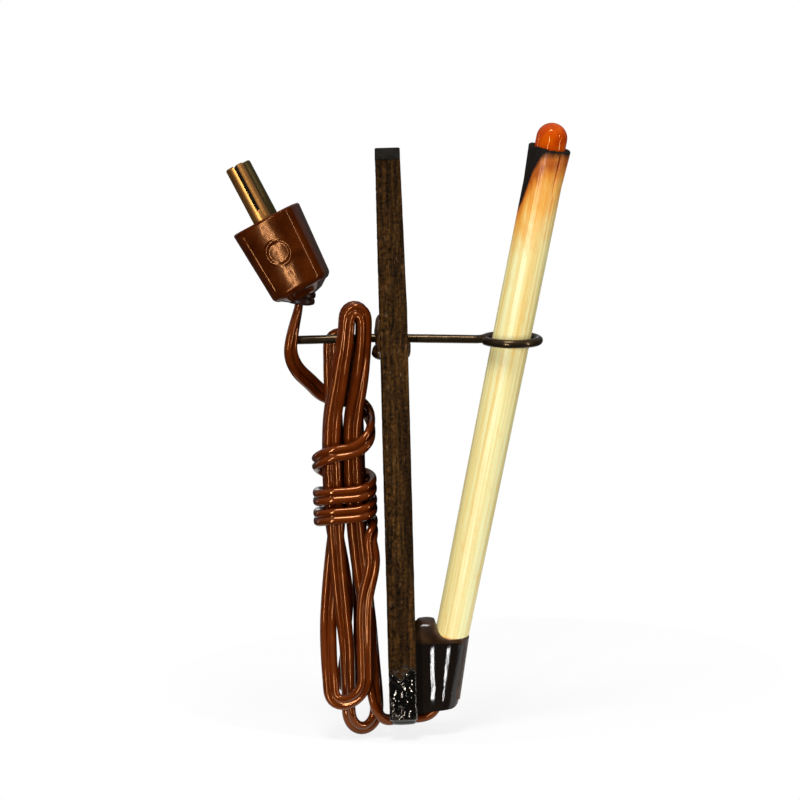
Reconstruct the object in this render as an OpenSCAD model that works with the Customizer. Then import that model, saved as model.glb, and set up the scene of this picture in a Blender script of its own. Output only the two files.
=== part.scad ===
// Miniature electric wall torch: a board on a bent wire, a slanted cane rod with a bulb in its mouth,
// and a twin flex stored as a hank on the wall side of the wire.
// The origin is on the wire's axis at the board's back face. +Z is up and the wall is on +Y.

/* [Board] */
// Width of the board, across the wall
board_w = 10.5; // [8:0.1:14]
// Thickness of the board below the wire
board_t = 3.9; // [3.2:0.1:5]
// Thickness that the front face loses towards the top end
board_taper = 0.45; // [0:0.05:0.6]
// Height of the board above the wire
board_rise = 25.5; // [18:0.5:32]
// Length of the board below the wire
board_drop = 52.6; // [46:0.2:58]
// Worn chamfer on the board's edges
board_edge = 0.25; // [0.1:0.05:0.5]

/* [Bracket wire] */
// Diameter of the wire
wire_d = 1.2; // [0.9:0.05:1.5]
// Length of the wall pin behind the board
wall_pin_len = 12; // [9:0.5:16]
// Droop of the arm below level, in degrees
arm_droop = 2.3; // [0:0.1:5]
// Gap between the eye and the rod
eye_gap = 0.5; // [0.3:0.05:0.8]
// Part of the eye's circle that is left open, in degrees
eye_open = 30; // [26:1:60]
// Radius of the bend from the arm into the eye
wire_bend = 1.2; // [1:0.1:2]

/* [Torch rod] */
// Diameter of the rod along its upper half
rod_d = 5.35; // [4.9:0.05:6]
// Diameter of the rod at the foot's rim
rod_foot_d = 4.7; // [4.5:0.05:5.2]
// Diameter of the flared mouth
rod_mouth_d = 5.9; // [5.6:0.05:6.8]
// Length of the rod from the foot's rim to its mouth
rod_len = 69.4; // [60:0.2:80]
// Lean of the rod away from the board, in degrees
rod_tilt = 12.6; // [8:0.2:18]
// Distance from the board's front face to the rod's axis at the foot's rim
rod_standoff = 4.88; // [4.4:0.02:6]
// Length of the tenon inside the foot
tenon_len = 8.8; // [6:0.1:9.2]
// Wall of the tenon
tenon_wall = 0.45; // [0.3:0.05:0.55]
// Height of the flare below the mouth
flare_h = 5; // [3:0.5:8]
// Width of the split in the mouth
slit_w = 0.25; // [0.15:0.05:0.5]
// Length of the split in the mouth
slit_len = 7; // [3:0.5:10]

/* [Foot] */
// Height of the wrap at the board
foot_h = 10.2; // [9.6:0.1:12]
// Height of the wrap's lower edge above the board's end
foot_up = 0.4; // [0.2:0.1:1]
// Thickness of the wrap
wrap_t = 0.25; // [0.15:0.05:0.3]
// Lean of the wrap, in degrees
foot_lean = 9.6; // [8.6:0.2:10.4]
// Radius of the wrap's lower front corner
foot_corner = 1.4; // [0.8:0.1:1.8]
// Height of the resin mound above the rim
mound_h = 2.9; // [1.5:0.1:3.5]

/* [Bulb] */
// Diameter of the bulb
bulb_d = 4.25; // [3.9:0.05:4.4]
// Length of the bulb
bulb_len = 9.5; // [8:0.1:12]
// Length of bulb that stands out of the mouth
bulb_show = 3.4; // [2.5:0.1:4.5]
// Thickness of the glass
glass_t = 0.35; // [0.25:0.05:0.5]
// Thickness of the bedding ring under the bulb
bed_t = 1.8; // [1:0.1:3]

/* [Glue] */
// Base radius of the glue bead behind the board
rear_bead_r = 3; // [2.4:0.1:3.6]
// Height of the glue bead behind the board
rear_bead_h = 0.8; // [0.5:0.05:1]
// Radius of the lump at that bead's lower end
rear_lump_r = 1.3; // [1:0.1:1.4]
// Base radius of the bead under the arm
front_bead_r = 1.4; // [1:0.1:1.8]
// Height of the bead under the arm
front_bead_h = 0.4; // [0.3:0.05:0.8]

/* [Flex] */
// Diameter of each of the flex's two cores
core_d = 1.15; // [1:0.05:1.2]
// Diameter of the copper in each core
copper_d = 0.4; // [0.3:0.05:0.5]
// Diameter of the bulb's own wires
bulb_wire_d = 0.25; // [0.2:0.05:0.35]
// Wall of a splice sleeve
sleeve_wall = 0.2; // [0.1:0.05:0.25]
// Length of a splice sleeve
sleeve_len = 3.5; // [2.5:0.1:5]

/* [Plug] */
// Width of the plug at its pin end
plug_w = 9.3; // [8.8:0.1:10]
// Depth of the plug at its pin end
plug_t = 9.2; // [8:0.1:10]
// Width and depth of the plug at its cord end
plug_back = 7.9; // [7.2:0.1:8.4]
// Rounding of the cord end's edges
plug_round = 0.9; // [0.8:0.1:1.8]
// Length of the plug's body
plug_len = 11; // [10:0.1:13]
// Swell of the plug's cord end
plug_dome = 1.2; // [0.8:0.1:1.6]
// Diameter of a pin
pin_d = 2.6; // [2.4:0.1:3]
// Length of a pin outside the body
pin_len = 8.3; // [7:0.1:10]
// Distance between the pins' axes
pin_spacing = 4.8; // [4.4:0.1:5]
// Diameter of a pin's shank inside the body
shank_d = 1.8; // [1.7:0.05:2]
// Width of the slot in a pin
pin_slot_w = 0.5; // [0.3:0.05:0.7]
// Depth of the slot in a pin
pin_slot_len = 7; // [4:0.1:7.4]
// Turn of the slots about the pins' own axes
pin_slot_turn = 18; // [0:1:45]
// Diameter of the sleeve where the flex enters the plug
grommet_d = 4.2; // [3.6:0.1:4.4]
// Length of that sleeve
grommet_len = 3.2; // [2.8:0.1:3.6]

/* [Fits and smoothness] */
// Clearance between pieces that fit together
fit = 0.05; // [0.03:0.01:0.08]
// Facets of a full circle
facets = 48; // [32:8:96]

/* [Hidden] */
$fn = facets;
more = 1;

// Foot and rod
rim_z = -board_drop + foot_up + foot_h;
foot_z = -board_drop + foot_up;
rod_front = board_t + rod_standoff;
wrap_r = rod_foot_d / 2;
bore_d = 2 * core_d + 6 * fit;
tenon_d = bore_d + 2 * tenon_wall;
seat_d = bulb_d + 4 * fit;
bulb_z = rod_len + bulb_show - bulb_len;
seat_z = bulb_z - bed_t;
foot_rake = 0.45;
corner_z = foot_z + foot_rake + foot_corner;
resin_up = 1.6;
mound_r = wrap_r - wrap_t - 2 * fit;

// The eye stands where the arm's axis meets the rod's axis
eye_reach = (rod_front - rim_z * tan(rod_tilt)) / (cos(arm_droop) + tan(rod_tilt) * sin(arm_droop));
eye_r = rod_d / 2 + eye_gap + wire_d / 2;

// Wires inside the rod
core_x = core_d / 2;
sleeve_bore = copper_d + 2 * fit;
sleeve_z = seat_z - sleeve_len - 2.5;
riser_top = sleeve_z - 1;
post_h = 3.4;
wire_top = 5.3;

// Plug
plug_at = [-0.5, 10.2, 7];
plug_lean = 28.1;
plug_turn = -19.3;
plug_roll = 10;
mouth_at = [-0.5, 10.85, 5.2];
mouth_lean = 9.87;
shank_len = 5.5;
carrier_h = 4;
carrier_x = pin_spacing / 2 + shank_d / 2 + 0.2;
carrier_y = shank_d / 2 + 0.7;
cup_deep = 2.4;

// Flex route: the section's wide way runs along the roll, and the route is one list from the rod to the plug
flex_hex = [for (s = [[1, 0], [0.55, 0.5], [-0.55, 0.5], [-1, 0], [-0.55, -0.5], [0.55, -0.5]]) s * core_d];
flex_oct = [for (s = [[1, 0.2], [0.75, 0.5], [-0.75, 0.5], [-1, 0.2],
                      [-1, -0.2], [-0.75, -0.5], [0.75, -0.5], [1, -0.2]]) s * core_d];
under_z = -board_drop - fit - core_d / 2;

// Tail: [x, y, z] and roll, from the tenon's end, under the board and up behind it
tail = [
    [rod_at(-tenon_len), 90],
    [rod_at(-tenon_len - 1.2), 90],
    [[0, -5.8, under_z + 0.45], 90],
    [[0, -4.4, under_z], 90],
    [[-0.05, -2.8, under_z], 90],
    [[-0.3, -1, under_z], 90],
    [[-0.95, 0.5, under_z], 90],
    [[-1.8, 1.35, under_z + 0.95], 80],
    [[-2.3, 1.9, -50.6], 65],
    [[-2.25, 2.15, -48.6], 50],
    [[-2.25, 2.3, -46.4], 40]
];

// Hank: the runs' stations are [z, x, y, roll], and each bend joins one run's end to the next one's start
right_y = 3.9;
left_y = 6.75;
middle_shift = 0.25;
rear_shift = -0.3;
front_x = -2.5;
middle_x = -0.85;
rear_x = 0.85;
runs = [
    [[-44, -2.3, 2.5, 30], [-37, -2.45, 2.75, 10], [-31, front_x, 3.4, 0], [-24, front_x, right_y, 0],
     [-12, front_x, right_y, 0], [-4, -3.5, 2.55, 30], [3.5, -3.95, 1.95, 45]],
    [[3.5, -3.95, 4.25, 45], [-4, -3.4, 5.35, 25], [-12, front_x, left_y, 0], [-24, front_x, left_y, 0],
     [-31, -2.4, 6.5, 5], [-38, -2.25, 6, 20], [-43, -2.05, 5.6, 40], [-51.8, -1.6, 5.6, 50]],
    [[-51.8, 0.3, 1.7, 50], [-44, 0, 2.2, 40], [-37, -0.55, 2.8, 10], [-31, middle_x, 3.6, 0],
     [-24, middle_x, right_y + middle_shift, 0], [-12, middle_x, right_y + middle_shift, 0],
     [-4, -1.6, 2.85, 30], [3.4, -1.7, 2.2, 45]],
    [[3.4, -1.7, 4.5, 45], [-4, -1.5, 5.7, 20], [-12, middle_x, left_y + middle_shift, 0],
     [-25, middle_x, left_y + middle_shift, 0],
     [-31, -0.75, 6.1, 20], [-36, -0.35, 5.4, 60], [-42, 0.6, 5.7, 90], [-48.4, 1.3, 6.6, 90]],
    [[-48.4, 1.3, 4.8, 90], [-41, 1.3, 3.8, 60], [-35, 1.1, 3.5, 20], [-29, rear_x, right_y + rear_shift, 0],
     [-12, rear_x, right_y + rear_shift, 0], [-6, 1.4, 3.95, 15], [-0.9, 1.75, 4.15, 45]],
    [[-0.9, 1.75, 6.75, 45], [-6, 1.3, 6.7, 15], [-12, rear_x, left_y + rear_shift, 0],
     [-25, rear_x, left_y + rear_shift, 0],
     [-30, 1.1, 7.1, 0], [-35, 1, 7.7, 0], [-40, 0, 8.1, 0], [-44, -2.2, 8.1, 10], [-48.6, -3.6, 7.9, 20]],
    [[-46.8, -4.4, 3.2, 45], [-43.5, -4.4, 3.2, 40], [-36, -4.2, 2.95, 20], [-29.8, -4.1, 1.7, 35]]
];
rises = [1.15, -2.6, 1.15, -0.9, 1.15, -2.2];
run_steps = 6;
bend_steps = 6;

// Wraps: they wind round the waist, and the tables give height and reach at each angle
wrap_step = 15;
wrap_from = 225;
wrap_to = 1485;
wrap_mid = [-0.8, 5.3];
wrap_reach_y = 3.85;
wrap_reach_x = [[225, 3.4], [1080, 3.4], [1350, 3.75], [1485, 3.75]];
wrap_z = [[225, -27.2], [247, -26.4], [270, -25.9], [360, -25], [450, -24.5], [540, -23.8], [630, -22.9],
          [720, -22.2], [810, -21.7], [900, -21], [990, -20.1], [1080, -19.2], [1170, -16.9], [1260, -15],
          [1350, -12], [1440, -8.8], [1485, -7.5]];

// Lead: [x, y, z] and the way that the section's thin side faces, from the last wrap to the plug
lead = [
    [[1.5, 9.2, -6.6], [-0.7, -0.7, 0]],
    [[0.6, 9.9, -5.7], [-0.75, -0.65, 0]],
    [[-0.3, 10.75, -4.75], [-0.75, -0.65, 0]],
    [[-1.1, 11.45, -3.7], [-0.75, -0.7, 0]],
    [[-1.8, 12, -2.4], [-0.7, -0.75, 0]],
    [[-2.3, 12.2, -0.8], [-0.6, -0.8, 0]],
    [[-2.2, 11.9, 0.9], [-0.5, -0.85, 0]],
    [[-1.5, 11.5, 2.5], [-0.2, -1, 0]],
    [mouth_at - 1.17 * mouth_way(), [0, -1, 0]],
    [mouth_at, [0, -1, 0]]
];

function rod_at(s) = [0, -rod_front - s * sin(rod_tilt), rim_z + s * cos(rod_tilt)];
function mouth_way() = [0, -sin(mouth_lean), cos(mouth_lean)];
function unit(v) = v / norm(v);
function squircle(v) = sign(v) * sqrt(abs(v));
function plug_pt(v) =
    let (x = v.x * cos(plug_roll) - v.y * sin(plug_roll), u = v.x * sin(plug_roll) + v.y * cos(plug_roll),
         y = u * cos(plug_lean) + v.z * sin(plug_lean), z = v.z * cos(plug_lean) - u * sin(plug_lean))
    plug_at + [x * cos(plug_turn) - y * sin(plug_turn), x * sin(plug_turn) + y * cos(plug_turn), z];

// A smooth curve through a run's stations, level at both ends
function span_of(st, z) = [for (k = [0:len(st) - 2]) if ((z - st[k][0]) * (z - st[k + 1][0]) <= 0) k][0];
function slope(st, k, c) =
    k == 0 || k == len(st) - 1 ? 0 : (st[k + 1][c] - st[k - 1][c]) / (st[k + 1][0] - st[k - 1][0]);
function ease(st, z, c) =
    let (k = span_of(st, z), h = st[k + 1][0] - st[k][0], t = (z - st[k][0]) / h)
    (2 * t ^ 3 - 3 * t ^ 2 + 1) * st[k][c] + (t ^ 3 - 2 * t ^ 2 + t) * slope(st, k, c) * h
    + (3 * t ^ 2 - 2 * t ^ 3) * st[k + 1][c] + (t ^ 3 - t ^ 2) * slope(st, k + 1, c) * h;
function station(s) = [[s[1], s[2], s[0]], [1, 0, 0], s[3]];
function run_points(st) =
    [for (k = [1:run_steps - 1]) let (z = st[0][0] + (st[len(st) - 1][0] - st[0][0]) * k / run_steps)
        station([z, ease(st, z, 1), ease(st, z, 2), ease(st, z, 3)])];

// A bend is half an ellipse, eased across from layer to layer
function bend_points(a, b, rise) =
    [for (k = [0:bend_steps]) let (f = 180 * k / bend_steps, t = (1 - cos(f)) / 2)
        station([a[0] + (b[0] - a[0]) * t + rise * sin(f), a[1] + (b[1] - a[1]) * t,
                 (a[2] + b[2]) / 2 + (a[2] - b[2]) / 2 * cos(f), a[3] + (b[3] - a[3]) * t])];
function last(list) = list[len(list) - 1];

// A wrap's ring lies flat on a rounded square round the waist
function wrap_point(t) =
    let (rx = lookup(t, wrap_reach_x), ry = wrap_reach_y, u = squircle(cos(t)), v = squircle(sin(t)))
    [[wrap_mid.x + rx * u, wrap_mid.y + ry * v, lookup(t, wrap_z)], -unit([u ^ 3 / rx, v ^ 3 / ry, 0]), 0];

tail_route = [for (p = tail) [p[0], [1, 0, 0], p[1]]];
hank_route = concat(
    [station(runs[0][0])],
    [for (i = [0:len(runs) - 1], p = concat(run_points(runs[i]),
        i < len(runs) - 1 ? bend_points(last(runs[i]), runs[i + 1][0], rises[i]) : [station(last(runs[i]))])) p],
    [for (t = [wrap_from:wrap_step:wrap_to]) wrap_point(t)]);
lead_route = [for (p = lead) [p[0], p[1], 0]];
route = concat(tail_route, hank_route, lead_route);
hank_first = len(tail_route);
hank_last = hank_first + len(hank_route) - 1;

// A ring's plane halves the turn at its point
function way(i) =
    let (a = max(i - 1, 0), b = min(i + 1, len(route) - 1))
    a == i || b == i ? unit(route[b][0] - route[a][0])
    : unit(unit(route[i][0] - route[a][0]) + unit(route[b][0] - route[i][0]));
function ring(i, section) =
    let (t = way(i), h = route[i][1], n0 = unit(h - (h * t) * t), w0 = cross(t, n0), r = route[i][2],
         n = n0 * cos(r) + w0 * sin(r), w = cross(t, n))
    [for (q = section) route[i][0] + w * q.x + n * q.y];
function route_len(a, b, s = 0) = a >= b ? s : route_len(a + 1, b, s + norm(route[a + 1][0] - route[a][0]));

// Least gap of the hank to itself, measured at the rings' corners and side middles
function ring_points(i) =
    let (r = ring(i, flex_hex)) concat(r, [for (k = [0:5]) (r[k] + r[(k + 1) % 6]) / 2]);
function hank_gap() =
    let (n = hank_last - hank_first,
         at = [for (i = hank_first, s = 0; i <= hank_last; i = i + 1,
                    s = s + (i <= hank_last ? norm(route[i][0] - route[i - 1][0]) : 0)) s],
         rings = [for (i = [hank_first:hank_last]) ring_points(i)])
    min([for (i = [0:n - 1], j = [i + 1:n])
        if (at[j] - at[i] > 5 && norm(route[hank_first + i][0] - route[hank_first + j][0]) < 3.4)
            min([for (a = rings[i], b = rings[j]) norm(a - b)])]);

// Frames and shared shapes
module rod_frame() {
    translate([0, -rod_front, rim_z]) rotate([rod_tilt, 0, 0]) children();
}

module arm_frame() {
    rotate([arm_droop, 0, 0]) children();
}

module plug_frame() {
    translate(plug_at) rotate([0, 0, plug_turn]) rotate([-plug_lean, 0, 0]) rotate([0, 0, plug_roll]) children();
}

module mouth_frame() {
    translate(mouth_at) rotate([mouth_lean, 0, 0]) children();
}

// A profile drawn in y and z, as wide as w along x
module side_profile(points, w) {
    rotate([90, 0, 90]) linear_extrude(w, center = true) polygon(points);
}

module peg(a, b, d) {
    v = b - a;
    translate(a) rotate([0, acos(v.z / norm(v)), atan2(v.y, v.x)]) cylinder(d = d, h = norm(v));
}

// Cap of a sphere with the given base radius and height, on the plane z = 0
module cap(r, h) {
    R = (r * r + h * h) / (2 * h);
    intersection() {
        translate([0, 0, h - R]) sphere(R, $fn = 96);
        translate([-r - more, -r - more, 0]) cube([2 * r + 2 * more, 2 * r + 2 * more, h + more]);
    }
}

module flex_section(grow = 0) {
    for (s = [-1, 1]) translate([s * core_x, 0]) circle(d = core_d + 2 * grow);
    square([core_d, 0.62 * core_d + 2 * grow], center = true);
}

module sweep(rings) {
    n = len(rings);
    m = len(rings[0]);
    polyhedron([for (r = rings, p = r) p], concat(
        [for (k = [1:m - 2]) [0, k + 1, k]],
        [for (i = [0:n - 2], k = [0:m - 1]) [i * m + k, i * m + (k + 1) % m, (i + 1) * m + (k + 1) % m]],
        [for (i = [0:n - 2], k = [0:m - 1]) [i * m + k, (i + 1) * m + (k + 1) % m, (i + 1) * m + k]],
        [for (k = [1:m - 2]) [(n - 1) * m, (n - 1) * m + k, (n - 1) * m + k + 1]]));
}

// Board
module wall_board() {
    e = board_edge;
    top_t = board_t - board_taper;
    color("#3a2410") difference() {
        intersection() {
            side_profile([[0, -board_drop + e], [-e, -board_drop], [-board_t + e, -board_drop],
                          [-board_t, -board_drop + e], [-board_t, 4], [-top_t, board_rise - e],
                          [-top_t + e, board_rise], [-e, board_rise], [0, board_rise - e]], board_w);
            translate([0, 0, -board_drop - more]) linear_extrude(board_drop + board_rise + 2 * more)
                polygon([[-board_w / 2, -e], [-board_w / 2 + e, 0], [board_w / 2 - e, 0], [board_w / 2, -e],
                         [board_w / 2, -board_t + e], [board_w / 2 - e, -board_t],
                         [-board_w / 2 + e, -board_t], [-board_w / 2, -board_t + e]]);
        }
        arm_frame() rotate([90, 0, 0]) translate([0, 0, -more]) cylinder(d = wire_d + 2 * fit, h = board_t + 3);
    }
}

// Wire: a straight wall pin, a slight bend in the board's back face, the arm and the open eye
module knee() {
    sphere(d = wire_d + 0.04);
}

module bracket_wire() {
    turn = acos(wire_bend / (eye_r + wire_bend));
    root = eye_reach - (eye_r + wire_bend) * sin(turn);
    color("#2a221c") {
        rotate([-90, 0, 0]) cylinder(d = wire_d, h = wall_pin_len);
        knee();
        arm_frame() {
            rotate([90, 0, 0]) cylinder(d = wire_d, h = root);
            translate([0, -root, 0]) knee();
            translate([wire_bend, -root, 0]) rotate([0, 0, 180])
                rotate_extrude(angle = turn) translate([wire_bend, 0]) circle(d = wire_d);
            translate([eye_r * cos(turn), eye_r * sin(turn) - eye_reach, 0]) knee();
            translate([0, -eye_reach, 0]) rotate([0, 0, turn + eye_open])
                rotate_extrude(angle = 360 - eye_open) translate([eye_r, 0]) circle(d = wire_d);
        }
    }
}

module rear_glue_bead() {
    color("#6b4527") difference() {
        union() {
            translate([0.3 * rear_bead_r, 0, rear_bead_h / 2]) rotate([-90, 0, 0]) cap(rear_bead_r, rear_bead_h);
            translate([0.27 * rear_bead_r, 0, -0.67 * rear_bead_r]) rotate([-90, 0, 0])
                cap(rear_lump_r, rear_lump_r);
        }
        rotate([-90, 0, 0]) translate([0, 0, -more]) cylinder(d = wire_d + 2 * fit, h = rear_bead_r + more);
    }
}

module front_glue_bead() {
    color("#3a2410") difference() {
        translate([0, -board_t, -board_t * tan(arm_droop) - wire_d / 2 - 0.8]) rotate([90, 0, 0])
            cap(front_bead_r, front_bead_h);
        arm_frame() rotate([90, 0, 0]) cylinder(d = wire_d + 2 * fit, h = board_t + 3);
    }
}

// Rod: full size above the foot's rim, a tenon below it, grown by g to cut its own seat
module rod_outside(g = 0) {
    intersection() {
        rod_frame() rotate_extrude() polygon([
            [0, -3], [rod_foot_d / 2 + g, -3], [rod_foot_d / 2 + g, 1], [rod_d / 2 + g, 0.68 * rod_len],
            [rod_d / 2 + g, rod_len - flare_h], [rod_mouth_d / 2 + g, rod_len], [0, rod_len]]);
        translate([-20, -60, rim_z + fit - g]) cube([40, 60, 2 * rod_len]);
    }
    rod_frame() translate([0, 0, -tenon_len]) cylinder(d = tenon_d + 2 * g, h = tenon_len + 2);
}

module torch_rod() {
    color("#f2cf62") difference() {
        rod_outside();
        rod_frame() {
            translate([0, 0, -tenon_len - more]) cylinder(d = bore_d, h = rod_len + tenon_len);
            translate([0, 0, seat_z]) cylinder(d = seat_d, h = rod_len);
            rotate([0, 0, 215]) translate([seat_d / 2 - 0.3, -slit_w / 2, rod_len - slit_len])
                cube([rod_mouth_d, slit_w, slit_len + more]);
        }
    }
}

// Foot: a U in plan, open to the board, that leans with the rod
module foot_u(r) {
    translate([0, -rod_front, rim_z]) rotate([foot_lean, 0, 0]) translate([0, 0, -2 * foot_h])
        linear_extrude(3 * foot_h) {
            circle(r);
            translate([-r, 0]) square([2 * r, 2 * rod_front]);
        }
}

module foot_wrap() {
    front = rod_front + (corner_z - rim_z) * tan(foot_lean) + wrap_r / cos(foot_lean);
    far = -rod_front - 2 * wrap_r;
    near = -board_t - fit;
    c = foot_corner;
    color("#14100e") intersection() {
        difference() {
            foot_u(wrap_r);
            foot_u(wrap_r - wrap_t);
        }
        side_profile(concat(
            [[near, foot_z], [near, rim_z], [far, rim_z], [far, corner_z]],
            [for (a = [90:-15:0]) [-front + c - c * sin(a), corner_z - c * cos(a)]]), 4 * wrap_r);
    }
}

module foot_resin() {
    color("#4a2c16") difference() {
        union() {
            intersection() {
                foot_u(wrap_r - wrap_t - fit);
                translate([-20, -20 - board_t - fit, foot_z + resin_up])
                    cube([40, 20, rim_z - foot_z - resin_up - fit]);
            }
            intersection() {
                translate([0, -board_t - 0.9 * mound_r, rim_z + mound_h - mound_r]) sphere(mound_r, $fn = 64);
                translate([-20, -20 - board_t - fit, rim_z - mound_r]) cube([40, 20, 20]);
            }
        }
        rod_outside(fit);
        rod_frame() translate([0, 0, -2 * tenon_len]) cylinder(d = tenon_d + 2 * fit, h = 2 * tenon_len);
    }
}

module end_glue() {
    w = core_d + 0.4;
    h = core_d + 2 * fit;
    color("#120f0d") translate([-0.3, -0.2, -board_drop]) rotate([90, 0, 0]) linear_extrude(board_t - 0.4)
        difference() {
            polygon([[-w - 0.8, 0], [w + 0.8, 0], [w + 0.35, -h + 0.1], [w, -h - 0.18], [-w, -h - 0.18],
                     [-w - 0.35, -h + 0.1]]);
            translate([-w, -h]) square([2 * w, h + more]);
        }
}

// Bulb: a glass envelope open below, closed by its stem
module bulb_envelope() {
    r = bulb_d / 2;
    ri = r - glass_t;
    dome = bulb_len - r;
    color("#d9862a", 0.7) rod_frame() translate([0, 0, bulb_z]) rotate_extrude() difference() {
        intersection() {
            union() {
                square([r, dome]);
                translate([0, dome]) circle(r);
            }
            square([r + more, bulb_len + more]);
        }
        union() {
            translate([-more, -more]) square([ri + more, dome + more]);
            translate([0, dome]) circle(ri);
        }
    }
}

module bulb_stem() {
    color("#cfd8d6") rod_frame() translate([0, 0, bulb_z]) difference() {
        union() {
            cylinder(r = bulb_d / 2 - glass_t - fit, h = 1);
            cylinder(r = core_x + 0.35, h = post_h);
        }
        for (s = [-1, 1]) translate([s * core_x, 0, -more]) cylinder(d = bulb_wire_d + 2 * fit, h = post_h + 3);
    }
}

module bulb_wires() {
    low = sleeve_z + sleeve_len / 2 + fit;
    color("#b8a890") rod_frame() for (s = [-1, 1])
        translate([s * core_x, 0, low]) cylinder(d = bulb_wire_d, h = bulb_z + wire_top - low);
}

module bulb_filament() {
    color("#8a8a8a") rod_frame() translate([0, 0, bulb_z + wire_top]) rotate([90, 0, 0])
        rotate_extrude(angle = 180) translate([core_x, 0]) circle(d = 0.12);
}

module bulb_bedding() {
    color("#d8cfb8") rod_frame() translate([0, 0, seat_z]) difference() {
        cylinder(d = seat_d - 2 * fit, h = bed_t);
        translate([0, 0, -more]) cylinder(d = bore_d - 0.2, h = bed_t + 2 * more);
    }
}

module splice_sleeves() {
    color("#b9babd") rod_frame() for (s = [-1, 1]) translate([s * core_x, 0, sleeve_z]) difference() {
        cylinder(d = sleeve_bore + 2 * sleeve_wall, h = sleeve_len);
        translate([0, 0, -more]) cylinder(d = sleeve_bore, h = sleeve_len + 2 * more);
    }
}

module core_wires() {
    color("#b5622e") rod_frame() for (s = [-1, 1]) translate([s * core_x, 0, -tenon_len])
        cylinder(d = copper_d, h = sleeve_z + sleeve_len / 2 - fit + tenon_len);
}

module flex_riser() {
    color("#7a3508") rod_frame() translate([0, 0, -tenon_len]) linear_extrude(riser_top + tenon_len)
        difference() {
            flex_section();
            for (s = [-1, 1]) translate([s * core_x, 0]) circle(d = copper_d + 2 * fit);
        }
}

// Flex outside the rod: the three stretches share their end rings
module flex_tail() {
    color("#6b2e0a") sweep([for (i = [0:hank_first]) ring(i, flex_oct)]);
}

module flex_hank() {
    echo(str("Hank: least gap to itself ", hank_gap(), " mm, length ", route_len(hank_first, hank_last), " mm"));
    echo(str("Tail ", route_len(0, hank_first), " mm, lead ", route_len(hank_last, len(route) - 1), " mm"));
    color("#7a3508") sweep([for (i = [hank_first:hank_last]) ring(i, flex_hex)]);
}

module flex_lead() {
    color("#6b2e0a") sweep([for (i = [hank_last:len(route) - 1]) ring(i, flex_oct)]);
}

// Plug
module plug_body() {
    rp = 1.5;
    color("#4a1500") difference() {
        plug_frame() hull() {
            for (x = [-1, 1], y = [-1, 1]) {
                translate([x * (plug_w / 2 - rp), y * (plug_t / 2 - rp), plug_len - 1]) cylinder(r = rp, h = 1, $fn = 32);
                translate([x * (plug_back / 2 - plug_round), y * (plug_back / 2 - plug_round), plug_round])
                    sphere(plug_round, $fn = 32);
            }
            translate([0, 0, 2 - plug_dome]) sphere(2, $fn = 32);
        }
        plug_frame() {
            translate([-carrier_x - fit, -carrier_y - fit, 1])
                cube([2 * (carrier_x + fit), 2 * (carrier_y + fit), plug_len - 2 + fit]);
            for (s = [-1, 1]) translate([s * pin_spacing / 2, 0, plug_len - 2])
                cylinder(d = shank_d + 2 * fit, h = 2 + more);
        }
        mouth_frame() translate([0, 0, -2]) cylinder(d = grommet_d + 2 * fit, h = grommet_len + 2 + core_d);
    }
}

module plug_grommet() {
    color("#2c0d02") mouth_frame() linear_extrude(grommet_len) difference() {
        circle(d = grommet_d);
        flex_section(fit);
    }
}

module plug_carrier() {
    color("#e8e2d4") plug_frame() translate([0, 0, plug_len - 1 - carrier_h]) difference() {
        translate([-carrier_x, -carrier_y, 0]) cube([2 * carrier_x, 2 * carrier_y, carrier_h]);
        for (s = [-1, 1]) translate([s * pin_spacing / 2, 0, -more])
            cylinder(d = shank_d + 2 * fit, h = carrier_h + 2 * more);
    }
}

// Pin: shank and solder cup inside the body, slotted shaft outside it
module pin(side) {
    tip = 0.2;
    color("#d8b24a") plug_frame() translate([side * pin_spacing / 2, 0, plug_len]) difference() {
        union() {
            translate([0, 0, -shank_len]) cylinder(d = shank_d, h = shank_len + fit);
            rotate_extrude() polygon([[0, 0], [pin_d / 2, 0], [pin_d / 2, pin_len - tip],
                                      [pin_d / 2 - tip, pin_len], [0, pin_len]]);
        }
        translate([0, 0, -shank_len - more]) cylinder(d = core_d + 2 * fit, h = cup_deep + more);
        rotate([0, 0, pin_slot_turn]) translate([-pin_d, -pin_slot_w / 2, pin_len - pin_slot_len])
            cube([2 * pin_d, pin_slot_w, pin_slot_len + more]);
    }
}

module plug_pin_a() {
    pin(-1);
}

module plug_pin_b() {
    pin(1);
}

module plug_flex_end() {
    color("#b5622e") {
        mouth_frame() linear_extrude(grommet_len + core_x) flex_section();
        for (s = [-1, 1]) {
            a = mouth_at + (grommet_len + core_x) * mouth_way() + [s * core_x, 0, 0];
            b = plug_pt([s * pin_spacing / 2, 0, plug_len - shank_len - 0.8]);
            c = plug_pt([s * pin_spacing / 2, 0, plug_len - shank_len + cup_deep - fit]);
            translate(a) sphere(d = 1.04 * core_d);
            peg(a, b, core_d);
            translate(b) sphere(d = 1.04 * core_d);
            peg(b, c, core_d);
        }
    }
}

wall_board();
bracket_wire();
rear_glue_bead();
front_glue_bead();
torch_rod();
foot_wrap();
foot_resin();
bulb_envelope();
bulb_stem();
bulb_wires();
bulb_filament();
bulb_bedding();
splice_sleeves();
core_wires();
flex_riser();
end_glue();
flex_tail();
flex_hank();
flex_lead();
plug_body();
plug_grommet();
plug_carrier();
plug_pin_a();
plug_pin_b();
plug_flex_end();
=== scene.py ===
"""Miniature wall torch: the dressed model, laid out as an add-on with one operator for each group of pieces.

Shapes are worked out in millimetres; meshes, settings and textures are in metres.
The origin is on the wire's axis at the board's back face, +Z is up and the wall is on +Y.
"""

import math

import bpy
import numpy as np
from mathutils import Matrix, Vector


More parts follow.
